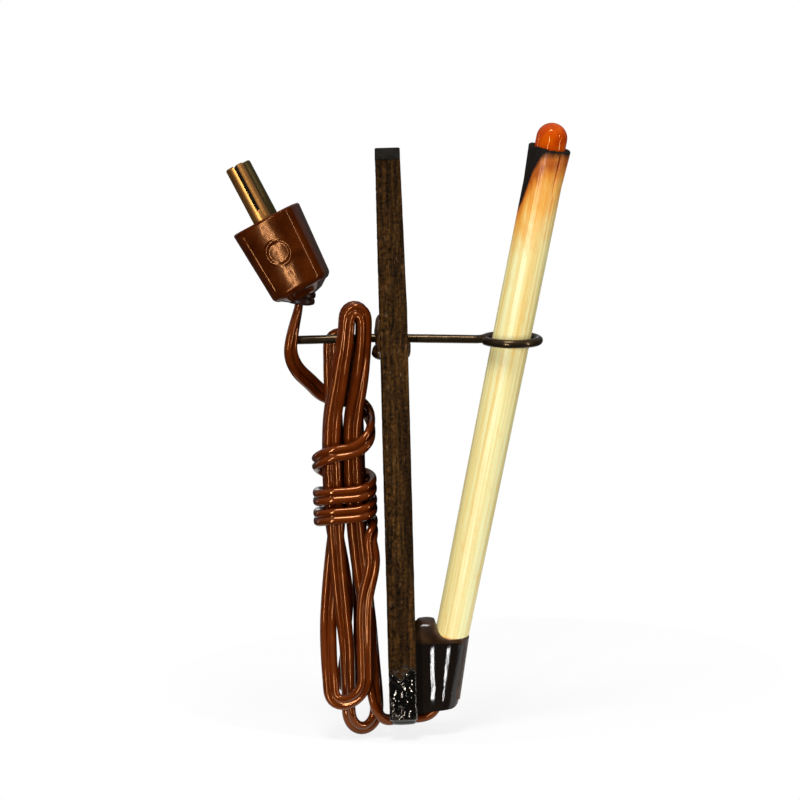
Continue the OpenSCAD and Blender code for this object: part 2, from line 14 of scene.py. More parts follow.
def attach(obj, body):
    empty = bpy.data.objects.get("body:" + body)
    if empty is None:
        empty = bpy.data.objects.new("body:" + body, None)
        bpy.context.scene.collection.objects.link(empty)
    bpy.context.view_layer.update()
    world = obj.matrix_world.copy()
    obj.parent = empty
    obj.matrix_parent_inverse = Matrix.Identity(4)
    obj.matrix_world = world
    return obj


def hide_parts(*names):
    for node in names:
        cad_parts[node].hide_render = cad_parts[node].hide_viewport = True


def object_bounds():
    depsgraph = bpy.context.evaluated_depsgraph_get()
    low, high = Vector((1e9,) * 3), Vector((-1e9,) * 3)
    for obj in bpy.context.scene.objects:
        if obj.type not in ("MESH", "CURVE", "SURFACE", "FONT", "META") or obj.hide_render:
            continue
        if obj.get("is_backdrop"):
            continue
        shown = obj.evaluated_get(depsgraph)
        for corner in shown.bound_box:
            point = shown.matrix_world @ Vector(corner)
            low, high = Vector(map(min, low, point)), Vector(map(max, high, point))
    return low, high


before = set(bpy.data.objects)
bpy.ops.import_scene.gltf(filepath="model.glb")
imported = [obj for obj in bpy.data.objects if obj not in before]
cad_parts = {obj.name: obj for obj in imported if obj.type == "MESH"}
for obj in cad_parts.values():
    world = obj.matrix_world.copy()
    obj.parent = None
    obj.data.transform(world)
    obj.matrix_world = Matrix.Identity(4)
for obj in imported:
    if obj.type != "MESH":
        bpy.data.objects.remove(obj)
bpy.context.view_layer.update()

bl_info = {
    "name": "Wall torch",
    "version": (1, 0, 0),
    "blender": (4, 5, 0),
    "location": "View3D > Sidebar > Wall torch",
    "description": "Builds a miniature electric wall torch with its flex and plug",
    "category": "Object",
}

MM = 0.001
BODY = "root"


# Arrays

def radians(degrees):
    """Degrees to radians, for arrays too."""
    return np.asarray(degrees, float) * math.pi / 180


def xyz(x, y, z):
    """Points from their three coordinates."""
    return np.stack(np.broadcast_arrays(x, y, z), -1)


def unit(v):
    """Each row over its own length."""
    return v / np.maximum(np.linalg.norm(v, axis=-1, keepdims=True), 1e-12)


def square_to(v, t):
    """The part of each row of v that is square to the unit row of t, as a unit row."""
    return unit(v - (v * t).sum(1, keepdims=True) * t)


def spun(points, angle, i, j):
    """Points turned in the plane of two axes: i' = i cos a - j sin a, j' = i sin a + j cos a."""
    p = np.array(points, float)
    c, s = math.cos(math.radians(angle)), math.sin(math.radians(angle))
    p[..., i], p[..., j] = p[..., i] * c - p[..., j] * s, p[..., i] * s + p[..., j] * c
    return p


def turned_x(points, angle):
    """Points turned about the x axis."""
    return spun(points, angle, 1, 2)


def turned_z(points, angle):
    """Points turned about the z axis."""
    return spun(points, angle, 0, 1)


def step(x, low, high):
    """0 below low, 1 above high, and 3t^2 - 2t^3 between them."""
    t = np.clip((np.asarray(x, float) - low) / (high - low), 0, 1)
    return t * t * (3 - 2 * t)


def hump(x, middle, half):
    """A bell of height 1: e to the minus ((x - middle) / half) squared."""
    return np.exp(-(((np.asarray(x, float) - middle) / half) ** 2))


def power(v, p):
    """Signed power: the sign of v times |v|^p."""
    return np.sign(v) * np.abs(v) ** p


def lumps(x, y, z, seed):
    """Smooth noise from -1 to 1: random values on a lattice of whole numbers, blended with 3t^2 - 2t^3."""
    table = np.random.default_rng(seed).uniform(-1, 1, (32, 32, 32))
    at = np.broadcast_arrays(np.asarray(x, float), np.asarray(y, float), np.asarray(z, float))
    cells = [np.floor(v).astype(int) for v in at]
    parts = [step(v - c, 0, 1) for v, c in zip(at, cells)]
    total = 0
    for i in (0, 1):
        for j in (0, 1):
            for k in (0, 1):
                share = ((parts[0] if i else 1 - parts[0]) * (parts[1] if j else 1 - parts[1])
                         * (parts[2] if k else 1 - parts[2]))
                total = total + share * table[(cells[0] + i) % 32, (cells[1] + j) % 32, (cells[2] + k) % 32]
    return total


def rough(x, y, z, seed, octaves=3):
    """Sum of lumps, each octave with half the pitch and half the height of the one before."""
    return sum(lumps(x * 2 ** n, y * 2 ** n, z * 2 ** n, seed + n) / 2 ** n for n in range(octaves)) / 1.75


def through(points, per):
    """Catmull-Rom curve through the points, with per steps a span; each end is mirrored beyond it."""
    p = np.asarray(points, float)
    p = np.vstack([2 * p[:1] - p[1:2], p, 2 * p[-1:] - p[-2:-1]])
    t = (np.arange(per) / per)[None, :, None]
    a, b, c, d = (p[k:len(p) - 3 + k, None, :] for k in range(4))
    curve = 0.5 * (2 * b + (c - a) * t + (2 * a - 5 * b + 4 * c - d) * t ** 2
                   + (3 * b - a - 3 * c + d) * t ** 3)
    return np.vstack([curve.reshape(-1, p.shape[1]), p[-2:-1]])


def even(rows, pitch, columns=3):
    """Rows at an even pitch along the line that their first columns draw."""
    s = np.concatenate([[0], np.cumsum(np.linalg.norm(np.diff(rows[:, :columns], axis=0), axis=1))])
    at = np.linspace(0, s[-1], int(round(s[-1] / pitch)) + 1)
    return np.stack([np.interp(at, s, rows[:, c]) for c in range(rows.shape[1])], 1)


def run_of(line):
    """The length along a line."""
    return np.linalg.norm(np.diff(line, axis=0), axis=1).sum()


def even_ring(line, count):
    """A closed line as x and y in even steps, without its last point."""
    return even(line, run_of(line) / count)[:count, :2]


def softened(rows, sigma):
    """Rows averaged with a bell of sigma steps; the two ends stay where they are."""
    reach = int(3 * sigma) + 1
    bell = np.exp(-0.5 * (np.arange(-reach, reach + 1) / sigma) ** 2)
    bell /= bell.sum()
    long = np.vstack([2 * rows[:1] - rows[reach:0:-1], rows, 2 * rows[-1:] - rows[-2:-reach - 2:-1]])
    return np.stack([np.convolve(long[:, c], bell, "valid") for c in range(rows.shape[1])], 1)


def along(points):
    """Unit tangents of a line, by central differences."""
    return unit(np.gradient(points, axis=0))


def filled(rows, count):
    """The columns of rows of numbers and arrays, each as an array (rows, count)."""
    return [np.stack([np.broadcast_to(v, count) for v in column]) for column in zip(*rows)]


# Meshes

def placed(name, data):
    """A new object of the scene."""
    obj = bpy.data.objects.new(name, data)
    bpy.context.scene.collection.objects.link(obj)
    return obj


def piece(name, shape, material, slot, *stands_for, smooth=60, marks=None):
    """A finished piece from points in millimetres and blocks of corners, with its faces turned outwards.

    The signed volume is the sum of a . (b x c) / 6 over the faces' fans, and a negative one turns them all.
    """
    points, faces = shape
    volume = 0.0
    for block in faces:
        for k in range(1, block.shape[1] - 1):
            a, b, c = points[block[:, 0]], points[block[:, k]], points[block[:, k + 1]]
            volume += float((a * np.cross(b, c)).sum())
    if volume < 0:
        faces = [block[:, ::-1] for block in faces]
    mesh = bpy.data.meshes.new(name)
    mesh.from_pydata((points * MM).tolist(), [], [f for block in faces for f in block.tolist()])
    mesh.polygons.foreach_set("use_smooth", np.ones(len(mesh.polygons), bool))
    mesh.set_sharp_from_angle(angle=math.radians(smooth))
    for key, values in (marks or {}).items():
        layer = mesh.attributes.new(key, "FLOAT", "POINT")
        layer.data.foreach_set("value", np.asarray(values, np.float32).ravel())
    mesh.materials.append(material)
    mesh.update()
    obj = placed(name, mesh)
    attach(obj, BODY)
    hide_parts(*stands_for)
    return obj


def skin(rings, loop=False):
    """Points and faces of rings, an array (rings, points, 3): quads join each ring to the next.

    With loop the last ring joins the first one; otherwise a fan round a middle point closes each end.
    """
    n, m = rings.shape[:2]
    i = np.arange(n if loop else n - 1)[:, None]
    k = np.arange(m)
    right = (k + 1) % m
    nxt = (i + 1) % n
    points = rings.reshape(-1, 3)
    faces = [np.stack([i * m + k, i * m + right, nxt * m + right, nxt * m + k], -1).reshape(-1, 4)]
    if not loop:
        points = np.vstack([points, rings[0].mean(0), rings[-1].mean(0)])
        last = (n - 1) * m
        faces.append(np.stack([np.full(m, n * m), right, k], 1))
        faces.append(np.stack([np.full(m, n * m + 1), last + k, last + right], 1))
    return points, faces


def joined(*parts):
    """Several (points, faces) as one."""
    points, faces, start = [], [], 0
    for p, f in parts:
        points.append(p)
        faces += [block + start for block in f]
        start += len(p)
    return np.vstack(points), faces


def moved(shape, way):
    """The (points, faces) with its points sent through a function."""
    return way(shape[0]), shape[1]


def carried(section, centres, across, up):
    """A flat section carried along centres: point = centre + across u + up v."""
    return centres[:, None] + across[:, None] * section[..., :1] + up[:, None] * section[..., 1:]


def turned(profile, count):
    """A profile of (radius, height) turned round the z axis in count steps: (r cos a, r sin a, h)."""
    a = np.arange(count) * 2 * math.pi / count
    r, h = np.asarray(profile, float).T[..., None]
    return xyz(r * np.cos(a), r * np.sin(a), h)


# Materials

BLACK, WHITE = (0, 0, 0), (1, 1, 1)


def tone(colour, share):
    """A colour with each of its channels times a share."""
    return tuple(share * c for c in colour)


def feed(node, key, value):
    """Fills a node's socket: another socket is linked to it, and anything else becomes its value."""
    end = node.inputs[key]
    if isinstance(value, bpy.types.NodeSocket):
        node.id_data.links.new(value, end)
    else:
        end.default_value = (*value[:3], 1) if end.type == "RGBA" else value


def add(tree, kind, *inputs, **values):
    """A shader node: values are properties or named sockets, and inputs its sockets in order, or None."""
    node = tree.nodes.new("ShaderNode" + kind)
    for key, value in values.items():
        if hasattr(node, key):
            setattr(node, key, value)
        else:
            feed(node, key.replace("_", " "), value)
    for k, value in enumerate(inputs):
        if value is not None:
            feed(node, k, value)
    return node


def calc(tree, operation, *values, clamp=False):
    """The output of a Math node; its values are sockets or numbers."""
    return add(tree, "Math", *values, operation=operation, use_clamp=clamp).outputs[0]


def past(tree, value, level, steepness):
    """A mask from 0 at a level to 1 above it, or below it where the steepness is negative."""
    return calc(tree, "MULTIPLY", calc(tree, "SUBTRACT", value, level), steepness, clamp=True)


def mix(tree, mask, a, b):
    """A number from a to b by the mask."""
    return add(tree, "Mix", mask, None, a, b, data_type="FLOAT").outputs[0]


def blend(tree, mask, a, b, how="MIX"):
    """A colour from a to b by the mask."""
    node = add(tree, "Mix", mask, data_type="RGBA", blend_type=how)
    feed(node, 6, a)
    feed(node, 7, b)
    return node.outputs[2]


def ramp(tree, by, *stops):
    """The colour that a ramp of (position, colour) stops gives for a value."""
    node = add(tree, "ValToRGB", by)
    e = node.color_ramp.elements
    while len(e) < len(stops):
        e.new(0.5)
    for k, (at, colour) in enumerate(stops):
        e[k].position = at
        e[k].color = (*colour, 1)
    return node.outputs[0]


def noise(tree, vector, scale, detail, roughness):
    """The value of a noise texture."""
    return add(tree, "TexNoise", Vector=vector, Scale=scale, Detail=detail,
               Roughness=roughness).outputs["Fac"]


def spots(tree, vector, scale):
    """The distance to the nearest point of a Voronoi texture."""
    return add(tree, "TexVoronoi", Vector=vector, Scale=scale).outputs["Distance"]


def mark(tree, name):
    """One of the piece's own marks."""
    return add(tree, "Attribute", attribute_name=name).outputs["Fac"]


def where(tree, turn=(0, 0, 0), scale=(1, 1, 1)):
    """Object coordinates, turned and scaled by a Mapping node."""
    place = add(tree, "TexCoord").outputs["Object"]
    return add(tree, "Mapping", Vector=place, Rotation=turn, Scale=scale).outputs[0]


def group_of(name, inputs, outputs):
    """A new node group with a vector and numbers coming in: (group, sockets that come in, output node)."""
    g = bpy.data.node_groups.new(name, "ShaderNodeTree")
    socket = g.interface.new_socket
    socket(name="Vector", in_out="INPUT", socket_type="NodeSocketVector")
    for key, value in inputs.items():
        socket(name=key, in_out="INPUT", socket_type="NodeSocketFloat").default_value = value
    for key in outputs:
        socket(name=key, in_out="OUTPUT", socket_type="NodeSocketFloat")
    return g, g.nodes.new("NodeGroupInput").outputs, g.nodes.new("NodeGroupOutput")


def grain(tree, vector, scale, stretch, broken):
    """Long grain: noise whose z is pressed by the stretch, as a coarse and a fine mask and a height."""
    name = "Long grain"
    if name not in bpy.data.node_groups:
        g, i, o = group_of(name, {"Scale": 1400.0, "Stretch": 0.05, "Break up": 0.5},
                           ("Coarse", "Fine", "Height"))
        press = add(g, "CombineXYZ", 1.0, 1.0, i["Stretch"])
        long = add(g, "VectorMath", i["Vector"], press.outputs[0], operation="MULTIPLY").outputs[0]
        coarse = noise(g, long, calc(g, "MULTIPLY", i["Scale"], 0.3), 3.0, 0.6)
        fine = noise(g, long, i["Scale"], 6.0, 0.7)
        fine = mix(g, i["Break up"], fine, noise(g, i["Vector"], i["Scale"], 2.0, 0.5))
        for k, value in enumerate((coarse, fine, calc(g, "ADD", coarse, fine))):
            feed(o, k, value)
    return add(tree, "Group", node_tree=bpy.data.node_groups[name], Vector=vector, Scale=scale,
               Stretch=stretch, Break_up=broken).outputs


def handled(tree, roughness, smudge, scale):
    """Handled gloss: broad smudges and thin scratches, as a roughness, a height and a mask."""
    name = "Handled gloss"
    if name not in bpy.data.node_groups:
        g, i, o = group_of(name, {"Roughness": 0.25, "Smudge": 0.15, "Scale": 600.0},
                           ("Roughness", "Height", "Mask"))
        broad = noise(g, i["Vector"], i["Scale"], 3.0, 0.55)
        fine = noise(g, i["Vector"], calc(g, "MULTIPLY", i["Scale"], 6.0), 5.0, 0.7)
        for k, value in enumerate((calc(g, "MULTIPLY_ADD", broad, i["Smudge"], i["Roughness"]), fine, broad)):
            feed(o, k, value)
    return add(tree, "Group", node_tree=bpy.data.node_groups[name], Vector=where(tree), Roughness=roughness,
               Smudge=smudge, Scale=scale).outputs


def tree_of(owner):
    """The emptied node tree of a material or of the world."""
    owner.use_nodes = True
    owner.node_tree.nodes.clear()
    return owner.node_tree


def finish_of(name, **sockets):
    """A new material: (material, tree, its Principled BSDF with the given numbers)."""
    material = bpy.data.materials.new(name)
    tree = tree_of(material)
    shader = add(tree, "BsdfPrincipled", **sockets)
    add(tree, "OutputMaterial", shader.outputs[0])
    return material, tree, shader


def settled(shader, colour, roughness, height, strength, distance=0.0001):
    """A colour, a roughness and, through a Bump node, a height onto the shader."""
    bump = add(shader.id_data, "Bump", Strength=strength, Distance=distance, Height=height)
    for key, value in (("Base Color", colour), ("Roughness", roughness), ("Normal", bump.outputs[0])):
        feed(shader, key, value)


def plain_gloss(name, low, high, roughness, smudge, specular, bump=0.02, scale=600.0, matt=None, **sockets):
    """Moulded gloss: two close colours by broad smudges, a fine orange-peel, matt where a mark is 1."""
    material, tree, shader = finish_of(name, Specular_IOR_Level=specular, **sockets)
    g = handled(tree, roughness, smudge, scale)
    dry = g["Roughness"]
    if matt:
        dry = calc(tree, "MAXIMUM", dry, calc(tree, "MULTIPLY", mark(tree, matt), 0.62))
    settled(shader, ramp(tree, g["Mask"], (0.35, low), (0.65, high)), dry, g["Height"], bump)
    return material


# The route of the flex

# The flex's middle under the board: the board's lower end, a gap and half the flex
UNDER = -52.6 - 0.05 - 0.575
# The rod's axis at the foot's rim, its tilt in degrees, and where the bore ends below the rim
ROD_AT, ROD_TILT, FLEX_END = (0.0, -8.78, -42.0), 12.6, -8.8
# The mouth of the plug's sleeve and its lean in degrees
MOUTH_AT, MOUTH_LEAN = (-0.5, 10.85, 5.2), 9.87


def up_from(at, lean, s):
    """The point s above another on an axis leaning back by some degrees: (x, y - s sin a, z + s cos a)."""
    a = math.radians(lean)
    return (at[0], at[1] - s * math.sin(a), at[2] + s * math.cos(a))


def on_rod(points):
    """From the rod's own frame, with its axis along z from the foot's rim, to the torch's."""
    return turned_x(points, ROD_TILT) + ROD_AT


TAIL_TOP = up_from(ROD_AT, ROD_TILT, FLEX_END)
# (x, y, z, roll) from the rod to the first run
TAIL = [
    (*TAIL_TOP, 90), (*up_from(ROD_AT, ROD_TILT, -10.0), 90), (0, -5.8, UNDER + 0.45, 90),
    (0, -4.4, UNDER, 90), (-0.05, -2.8, UNDER, 90), (-0.3, -1, UNDER, 90), (-0.95, 0.5, UNDER, 90),
    (-1.8, 1.35, UNDER + 0.95, 80),
    (-2.3, 1.9, -50.6, 65), (-2.25, 2.15, -48.6, 50), (-2.25, 2.3, -46.4, 40), (-2.3, 2.5, -44, 30),
]
# Each run's stations are (z, x, y, roll), and the bend after it rises this far past those it joins
RUNS = [
    [(-44, -2.3, 2.5, 30), (-37, -2.45, 2.75, 10), (-31, -2.5, 3.4, 0), (-24, -2.5, 3.9, 0),
     (-12, -2.5, 3.9, 0), (-4, -3.5, 2.55, 30), (3.5, -3.95, 1.95, 45)],
    [(3.5, -3.95, 4.25, 45), (-4, -3.4, 5.35, 25), (-12, -2.5, 6.75, 0), (-24, -2.5, 6.75, 0),
     (-31, -2.4, 6.5, 5), (-38, -2.25, 6, 20), (-43, -2.05, 5.6, 40), (-51.8, -1.6, 5.6, 50)],
    [(-51.8, 0.3, 1.7, 50), (-44, 0, 2.2, 40), (-37, -0.55, 2.8, 10), (-31, -0.85, 3.6, 0),
     (-24, -0.85, 4.15, 0), (-12, -0.85, 4.15, 0), (-4, -1.6, 2.85, 30), (3.4, -1.7, 2.2, 45)],
    [(3.4, -1.7, 4.5, 45), (-4, -1.5, 5.7, 20), (-12, -0.85, 7.0, 0), (-25, -0.85, 7.0, 0),
     (-31, -0.75, 6.1, 20), (-36, -0.35, 5.4, 60), (-42, 0.6, 5.7, 90), (-48.4, 1.3, 6.6, 90)],
    [(-48.4, 1.3, 4.8, 90), (-41, 1.3, 3.8, 60), (-35, 1.1, 3.5, 20), (-29, 0.85, 3.6, 0),
     (-12, 0.85, 3.6, 0), (-6, 1.4, 3.95, 15), (-0.9, 1.75, 4.15, 45)],
    [(-0.9, 1.75, 6.75, 45), (-6, 1.3, 6.7, 15), (-12, 0.85, 6.45, 0), (-25, 0.85, 6.45, 0),
     (-30, 1.1, 7.1, 0), (-35, 1, 7.7, 0), (-40, 0, 8.1, 0), (-44, -2.2, 8.1, 10), (-48.6, -3.6, 7.9, 20)],
    [(-46.8, -4.4, 3.2, 45), (-43.5, -4.4, 3.2, 40), (-36, -4.2, 2.95, 20), (-29.8, -4.1, 1.7, 35)],
]
RISES = [1.15, -2.6, 1.15, -0.9, 1.15, -2.2]
# The wraps: first and last angle in degrees, middle in x and y, reaches, and heights as (degrees, mm)
WRAP_FROM, WRAP_TO = 225, 1485
WRAP_MID = (-0.8, 5.3)
WRAP_REACH_Y = 3.85
WRAP_REACH_X = [(225, 3.4), (1080, 3.4), (1350, 3.75), (1485, 3.75)]
WRAP_Z = [(225, -27.2), (247, -26.4), (270, -25.9), (360, -25), (450, -24.5), (540, -23.8), (630, -22.9),
          (720, -22.2), (810, -21.7), (900, -21), (990, -20.1), (1080, -19.2), (1170, -16.9), (1260, -15),
          (1350, -12), (1440, -8.8), (1485, -7.5)]
# (x, y, z, x, y and z of the thin side) from the wraps to the plug
LEAD = [
    (1.5, 9.2, -6.6, -0.7, -0.7, 0), (0.6, 9.9, -5.7, -0.75, -0.65, 0), (-0.3, 10.75, -4.75, -0.75, -0.65, 0),
    (-1.1, 11.45, -3.7, -0.75, -0.7, 0), (-1.8, 12, -2.4, -0.7, -0.75, 0), (-2.3, 12.2, -0.8, -0.6, -0.8, 0),
    (-2.2, 11.9, 0.9, -0.5, -0.85, 0), (-1.5, 11.5, 2.5, -0.2, -1, 0),
    (*up_from(MOUTH_AT, MOUTH_LEAN, -1.17), 0, -1, 0), (*MOUTH_AT, 0, -1, 0),
]


def eased(stations, z, column):
    """Cubic Hermite curve through a run's stations at heights z, level at both ends:
    (2t^3 - 3t^2 + 1) a + (t^3 - 2t^2 + t) a' h + (3t^2 - 2t^3) b + (t^3 - t^2) b' h."""
    s = np.asarray(stations, float)
    if s[0, 0] > s[-1, 0]:
        s = s[::-1]
    slope = np.zeros(len(s))
    slope[1:-1] = (s[2:, column] - s[:-2, column]) / (s[2:, 0] - s[:-2, 0])
    k = np.clip(np.searchsorted(s[:, 0], z, "right") - 1, 0, len(s) - 2)
    h = s[k + 1, 0] - s[k, 0]
    t = (z - s[k, 0]) / h
    return ((2 * t ** 3 - 3 * t ** 2 + 1) * s[k, column] + (t ** 3 - 2 * t ** 2 + t) * slope[k] * h
            + (3 * t ** 2 - 2 * t ** 3) * s[k + 1, column] + (t ** 3 - t ** 2) * slope[k + 1] * h)


def hinted(x, y, z, roll):
    """Rows (x, y, z, hint x, y, z, roll); the hint, which the thin side is rolled from, is +x."""
    return np.stack(np.broadcast_arrays(x, y, z, 1.0, 0.0, 0.0, roll), -1)


def run_rows(stations, steps):
    """Rows of a run, without its ends."""
    z = np.linspace(stations[0][0], stations[-1][0], steps + 1)[1:-1]
    x, y, roll = (eased(stations, z, c) for c in (1, 2, 3))
    return hinted(x, y, z, roll)


def bend_rows(a, b, rise, steps):
    """Half an ellipse from station a to b: z = za + (zb - za) t + rise sin f, t = (1 - cos f) / 2."""
    f = np.linspace(0, math.pi, steps + 1)
    t = (1 - np.cos(f)) / 2
    return hinted(a[1] + (b[1] - a[1]) * t, (a[2] + b[2]) / 2 + (a[2] - b[2]) / 2 * np.cos(f),
                  a[0] + (b[0] - a[0]) * t + rise * np.sin(f), a[3] + (b[3] - a[3]) * t)


def wrap_rows(pitch):
    """The wraps, a rounded square: x = mx + rx u, y = my + ry v, u, v = signed roots of cos and sin."""
    t = np.arange(WRAP_FROM, WRAP_TO + 0.01, pitch)
    u, v = power(np.cos(radians(t)), 0.5), power(np.sin(radians(t)), 0.5)
    rx = np.interp(t, *zip(*WRAP_REACH_X))
    z = np.interp(t, *zip(*WRAP_Z))
    hint = -unit(xyz(u ** 3 / rx, v ** 3 / WRAP_REACH_Y, 0.0))
    return np.column_stack([WRAP_MID[0] + rx * u, WRAP_MID[1] + WRAP_REACH_Y * v, z, hint, 0 * z])


def flex_route(pitch):
    """The flex's centreline in mm, its tangents and the way its thin side faces, from rod to plug."""
    first, last = ((x, y, z, 1, 0, 0, roll) for z, x, y, roll in (RUNS[0][0], RUNS[-1][-1]))
    rows = [hinted(*through(TAIL, 8)[:-1].T), first]
    for i, run in enumerate(RUNS):
        rows.append(run_rows(run, 30))
        if i < len(RUNS) - 1:
            rows.append(bend_rows(run[-1], RUNS[i + 1][0], RISES[i], 24))
    wraps = wrap_rows(5)
    lead = through(np.vstack([wraps[-1:, :6], LEAD]), 8)[1:]
    rows = np.vstack([*rows, last, wraps, np.column_stack([lead, np.zeros(len(lead))])])
    t = along(rows[:, :3])
    hint, r = square_to(rows[:, 3:6], t), radians(rows[:, 6])[:, None]
    rows = even(np.column_stack([rows[:, :3], hint * np.cos(r) + np.cross(t, hint) * np.sin(r)]), pitch)
    centre = softened(rows[:, :3], 0.6 / pitch)
    t = along(centre)
    return centre, t, square_to(softened(rows[:, 3:], 1.6 / pitch), t)


def twin_section(core, web=155):
    """Two cores side by side: (c + r cos a, r sin a), a from -web to web degrees, and its mirror image."""
    a = radians(np.linspace(-web, web, 15))
    r = core / 2
    lobe = np.stack([r * (1 + np.cos(a)), r * np.sin(a)], 1)
    return np.vstack([lobe, (lobe * [-1, 1])[::-1]])


# Settings

def length(name, about, value):
    """A length in metres, given in millimetres."""
    return bpy.props.FloatProperty(name=name, description=about, default=value * MM, min=0, unit="LENGTH",
                                   precision=5)


def colour(name, about, value):
    """A linear colour."""
    return bpy.props.FloatVectorProperty(name=name, description=about, default=value, min=0, max=1,
                                         subtype="COLOR")


def amount(name, about, value, unit="NONE"):
    """A number of 0 or more."""
    return bpy.props.FloatProperty(name=name, description=about, default=value, min=0, unit=unit)


def sizes(s, names):
    """The named lengths of a group of settings, in millimetres."""
    return [getattr(s, name) / MM for name in names.split()]


class TorchFlexSettings(bpy.types.PropertyGroup):
    core: length("Core", "Diameter of each core", 1.15)
    pitch: length("Ring pitch", "Distance between the rings of the tube", 0.42)
    shade: colour("Shade", "Colour in the thick of the insulation", (0.045, 0.0068, 0.0004))
    light: colour("Light", "Colour where light comes through", (0.165, 0.025, 0.0014))


class TorchPlugSettings(bpy.types.PropertyGroup):
    width: length("Width", "Width at the pin end", 9.3)
    depth: length("Depth", "Depth at the pin end", 9.2)
    back: length("Cord end", "Width and depth at the cord end", 7.9)
    tall: length("Length", "Length of the body", 11)
    shade: colour("Shade", "Dark colour of the moulding", (0.036, 0.0055, 0.0004))
    light: colour("Light", "Light colour of the moulding", (0.066, 0.0115, 0.0008))
    metal: colour("Pins", "Colour of the front pin", (0.6, 0.27, 0.07))
    # Painted shade: the rear pin is the same brass as the front one, coloured darker because it stands in the
    # front pin's shade
    rear_pin_shade: colour("Rear pin shade", "Colour of the rear pin", (0.13, 0.09, 0.03))


class TorchBoardSettings(bpy.types.PropertyGroup):
    width: length("Width", "Width across the wall", 10.5)
    thick: length("Thickness", "Thickness below the wire", 3.9)
    rise: length("Rise", "Height above the wire", 25.5)
    drop: length("Drop", "Length below the wire", 52.6)
    dark: colour("Dark", "Colour of the dark grain", (0.009, 0.005, 0.002))
    warm: colour("Warm", "Colour of the light grain", (0.098, 0.045, 0.011))


class TorchWireSettings(bpy.types.PropertyGroup):
    thick: length("Diameter", "Diameter of the wire", 1.2)
    pin: length("Wall pin", "Length behind the board", 12)
    tint: colour("Colour", "Colour of the annealed wire", (0.045, 0.029, 0.015))


class TorchRodSettings(bpy.types.PropertyGroup):
    thick: length("Diameter", "Diameter of the upper half", 5.35)
    foot: length("Foot", "Diameter at the foot's rim", 4.7)
    mouth: length("Mouth", "Diameter of the mouth", 5.9)
    tall: length("Length", "Length from the rim to the mouth", 69.4)
    straw: colour("Straw", "Colour of the cane", (1.0, 0.96, 0.5))
    stripe: colour("Stripe", "Colour of the fibres", (0.94, 0.66, 0.22))


class TorchFootSettings(bpy.types.PropertyGroup):
    wall: length("Wall", "Thickness of the wrap", 0.25)
    mound: length("Mound", "Height of the resin above the rim", 2.9)
    black: colour("Black", "Colour of the wrap", (0.004, 0.0028, 0.0018))
    brown: colour("Brown", "Colour of the resin", (0.040, 0.018, 0.007))


class TorchBulbSettings(bpy.types.PropertyGroup):
    thick: length("Diameter", "Diameter of the bulb", 4.25)
    tall: length("Length", "Length of the bulb", 9.5)
    wall: length("Glass", "Thickness of the glass", 0.35)
    tint: colour("Tint", "Colour of the glass", (0.68, 0.066, 0.0004))


class TorchGlueSettings(bpy.types.PropertyGroup):
    reach: length("Rear bead", "Base radius of the bead behind the board", 3)
    high: length("Rear height", "Height of the bead behind the board", 0.8)
    amber: colour("Amber", "Colour of the glue", (0.11, 0.045, 0.013))


class TorchStageSettings(bpy.types.PropertyGroup):
    floor: colour("Floor", "Colour of the floor", (0.93, 0.93, 0.93))
    world: amount("World", "Strength of the surrounding light", 0.2)
    key: amount("Key", "Power of the overhead lamp in watts", 6.5, "POWER")
    strip: amount("Strips", "Power of each strip lamp in watts", 4.4, "POWER")


# Finishes of this torch

def flex_finish(s):
    """Glossy translucent insulation: red-brown, lighter by a broad noise, with smudges and fine scratches,
    and painted shade that darkens each strand towards its rims.
    """
    material, tree, shader = finish_of("Flex insulation", Specular_IOR_Level=0.85,
                                       Specular_Tint=(1, 0.44, 0.18))
    g = handled(tree, 0.06, 0.06, 420.0)
    base = blend(tree, g["Mask"], s.shade, s.light)
    # Painted shade: the colour darkens towards the rims, where the strands lie against each other and shade
    # one another
    edge = calc(tree, "MULTIPLY", add(tree, "LayerWeight", Blend=0.35).outputs["Facing"], 0.85)
    settled(shader, blend(tree, edge, base, tone(s.shade, 0.3)), g["Roughness"], g["Height"], 0.05)
    return material


def board_finish(s):
    """Stained wood: grain along z from near black to warm brown, pale flecks, black end, lacquered foot."""
    material, tree, shader = finish_of("Stained board", Specular_IOR_Level=0.04)
    v = where(tree)
    g = grain(tree, v, 2300.0, 0.07, 0.35)
    stain = ramp(tree, g["Fine"], (0.4, s.dark), (0.52, tone(s.warm, 0.5)), (0.64, tone(s.warm, 1.15)))
    wide = ramp(tree, g["Coarse"], (0.35, (0.45, 0.42, 0.4)), (0.65, (1.25, 1.15, 1.05)))
    base = blend(tree, 1.0, stain, wide, "MULTIPLY")
    pale = ramp(tree, noise(tree, where(tree, scale=(1, 1, 0.25)), 2600.0, 2.0, 0.6),
                (0.66, BLACK), (0.74, WHITE))
    base = blend(tree, calc(tree, "MULTIPLY", pale, 0.55), base, (0.19, 0.115, 0.06))
    z = add(tree, "SeparateXYZ", v).outputs["Z"]
    ragged = calc(tree, "MULTIPLY", noise(tree, v, 700.0, 3.0, 0.6), 0.006)
    lacquer = past(tree, calc(tree, "ADD", z, ragged), -0.0425, -1600.0)
    top = calc(tree, "MULTIPLY", past(tree, z, 0.0253, 9000.0), 0.92)
    base = blend(tree, lacquer, base, (0.06, 0.052, 0.044))
    base = blend(tree, top, base, (0.005, 0.0045, 0.003))
    dry = mix(tree, lacquer, calc(tree, "MULTIPLY_ADD", g["Fine"], 0.3, 0.5), 0.06)
    feed(shader, "Metallic", lacquer)
    beads = calc(tree, "MULTIPLY", spots(tree, v, 2100.0), noise(tree, v, 1300.0, 2.0, 0.5))
    height = mix(tree, lacquer, g["Height"], calc(tree, "MULTIPLY", beads, 0.5))
    settled(shader, base, dry, height, 0.8, 0.00025)
    return material


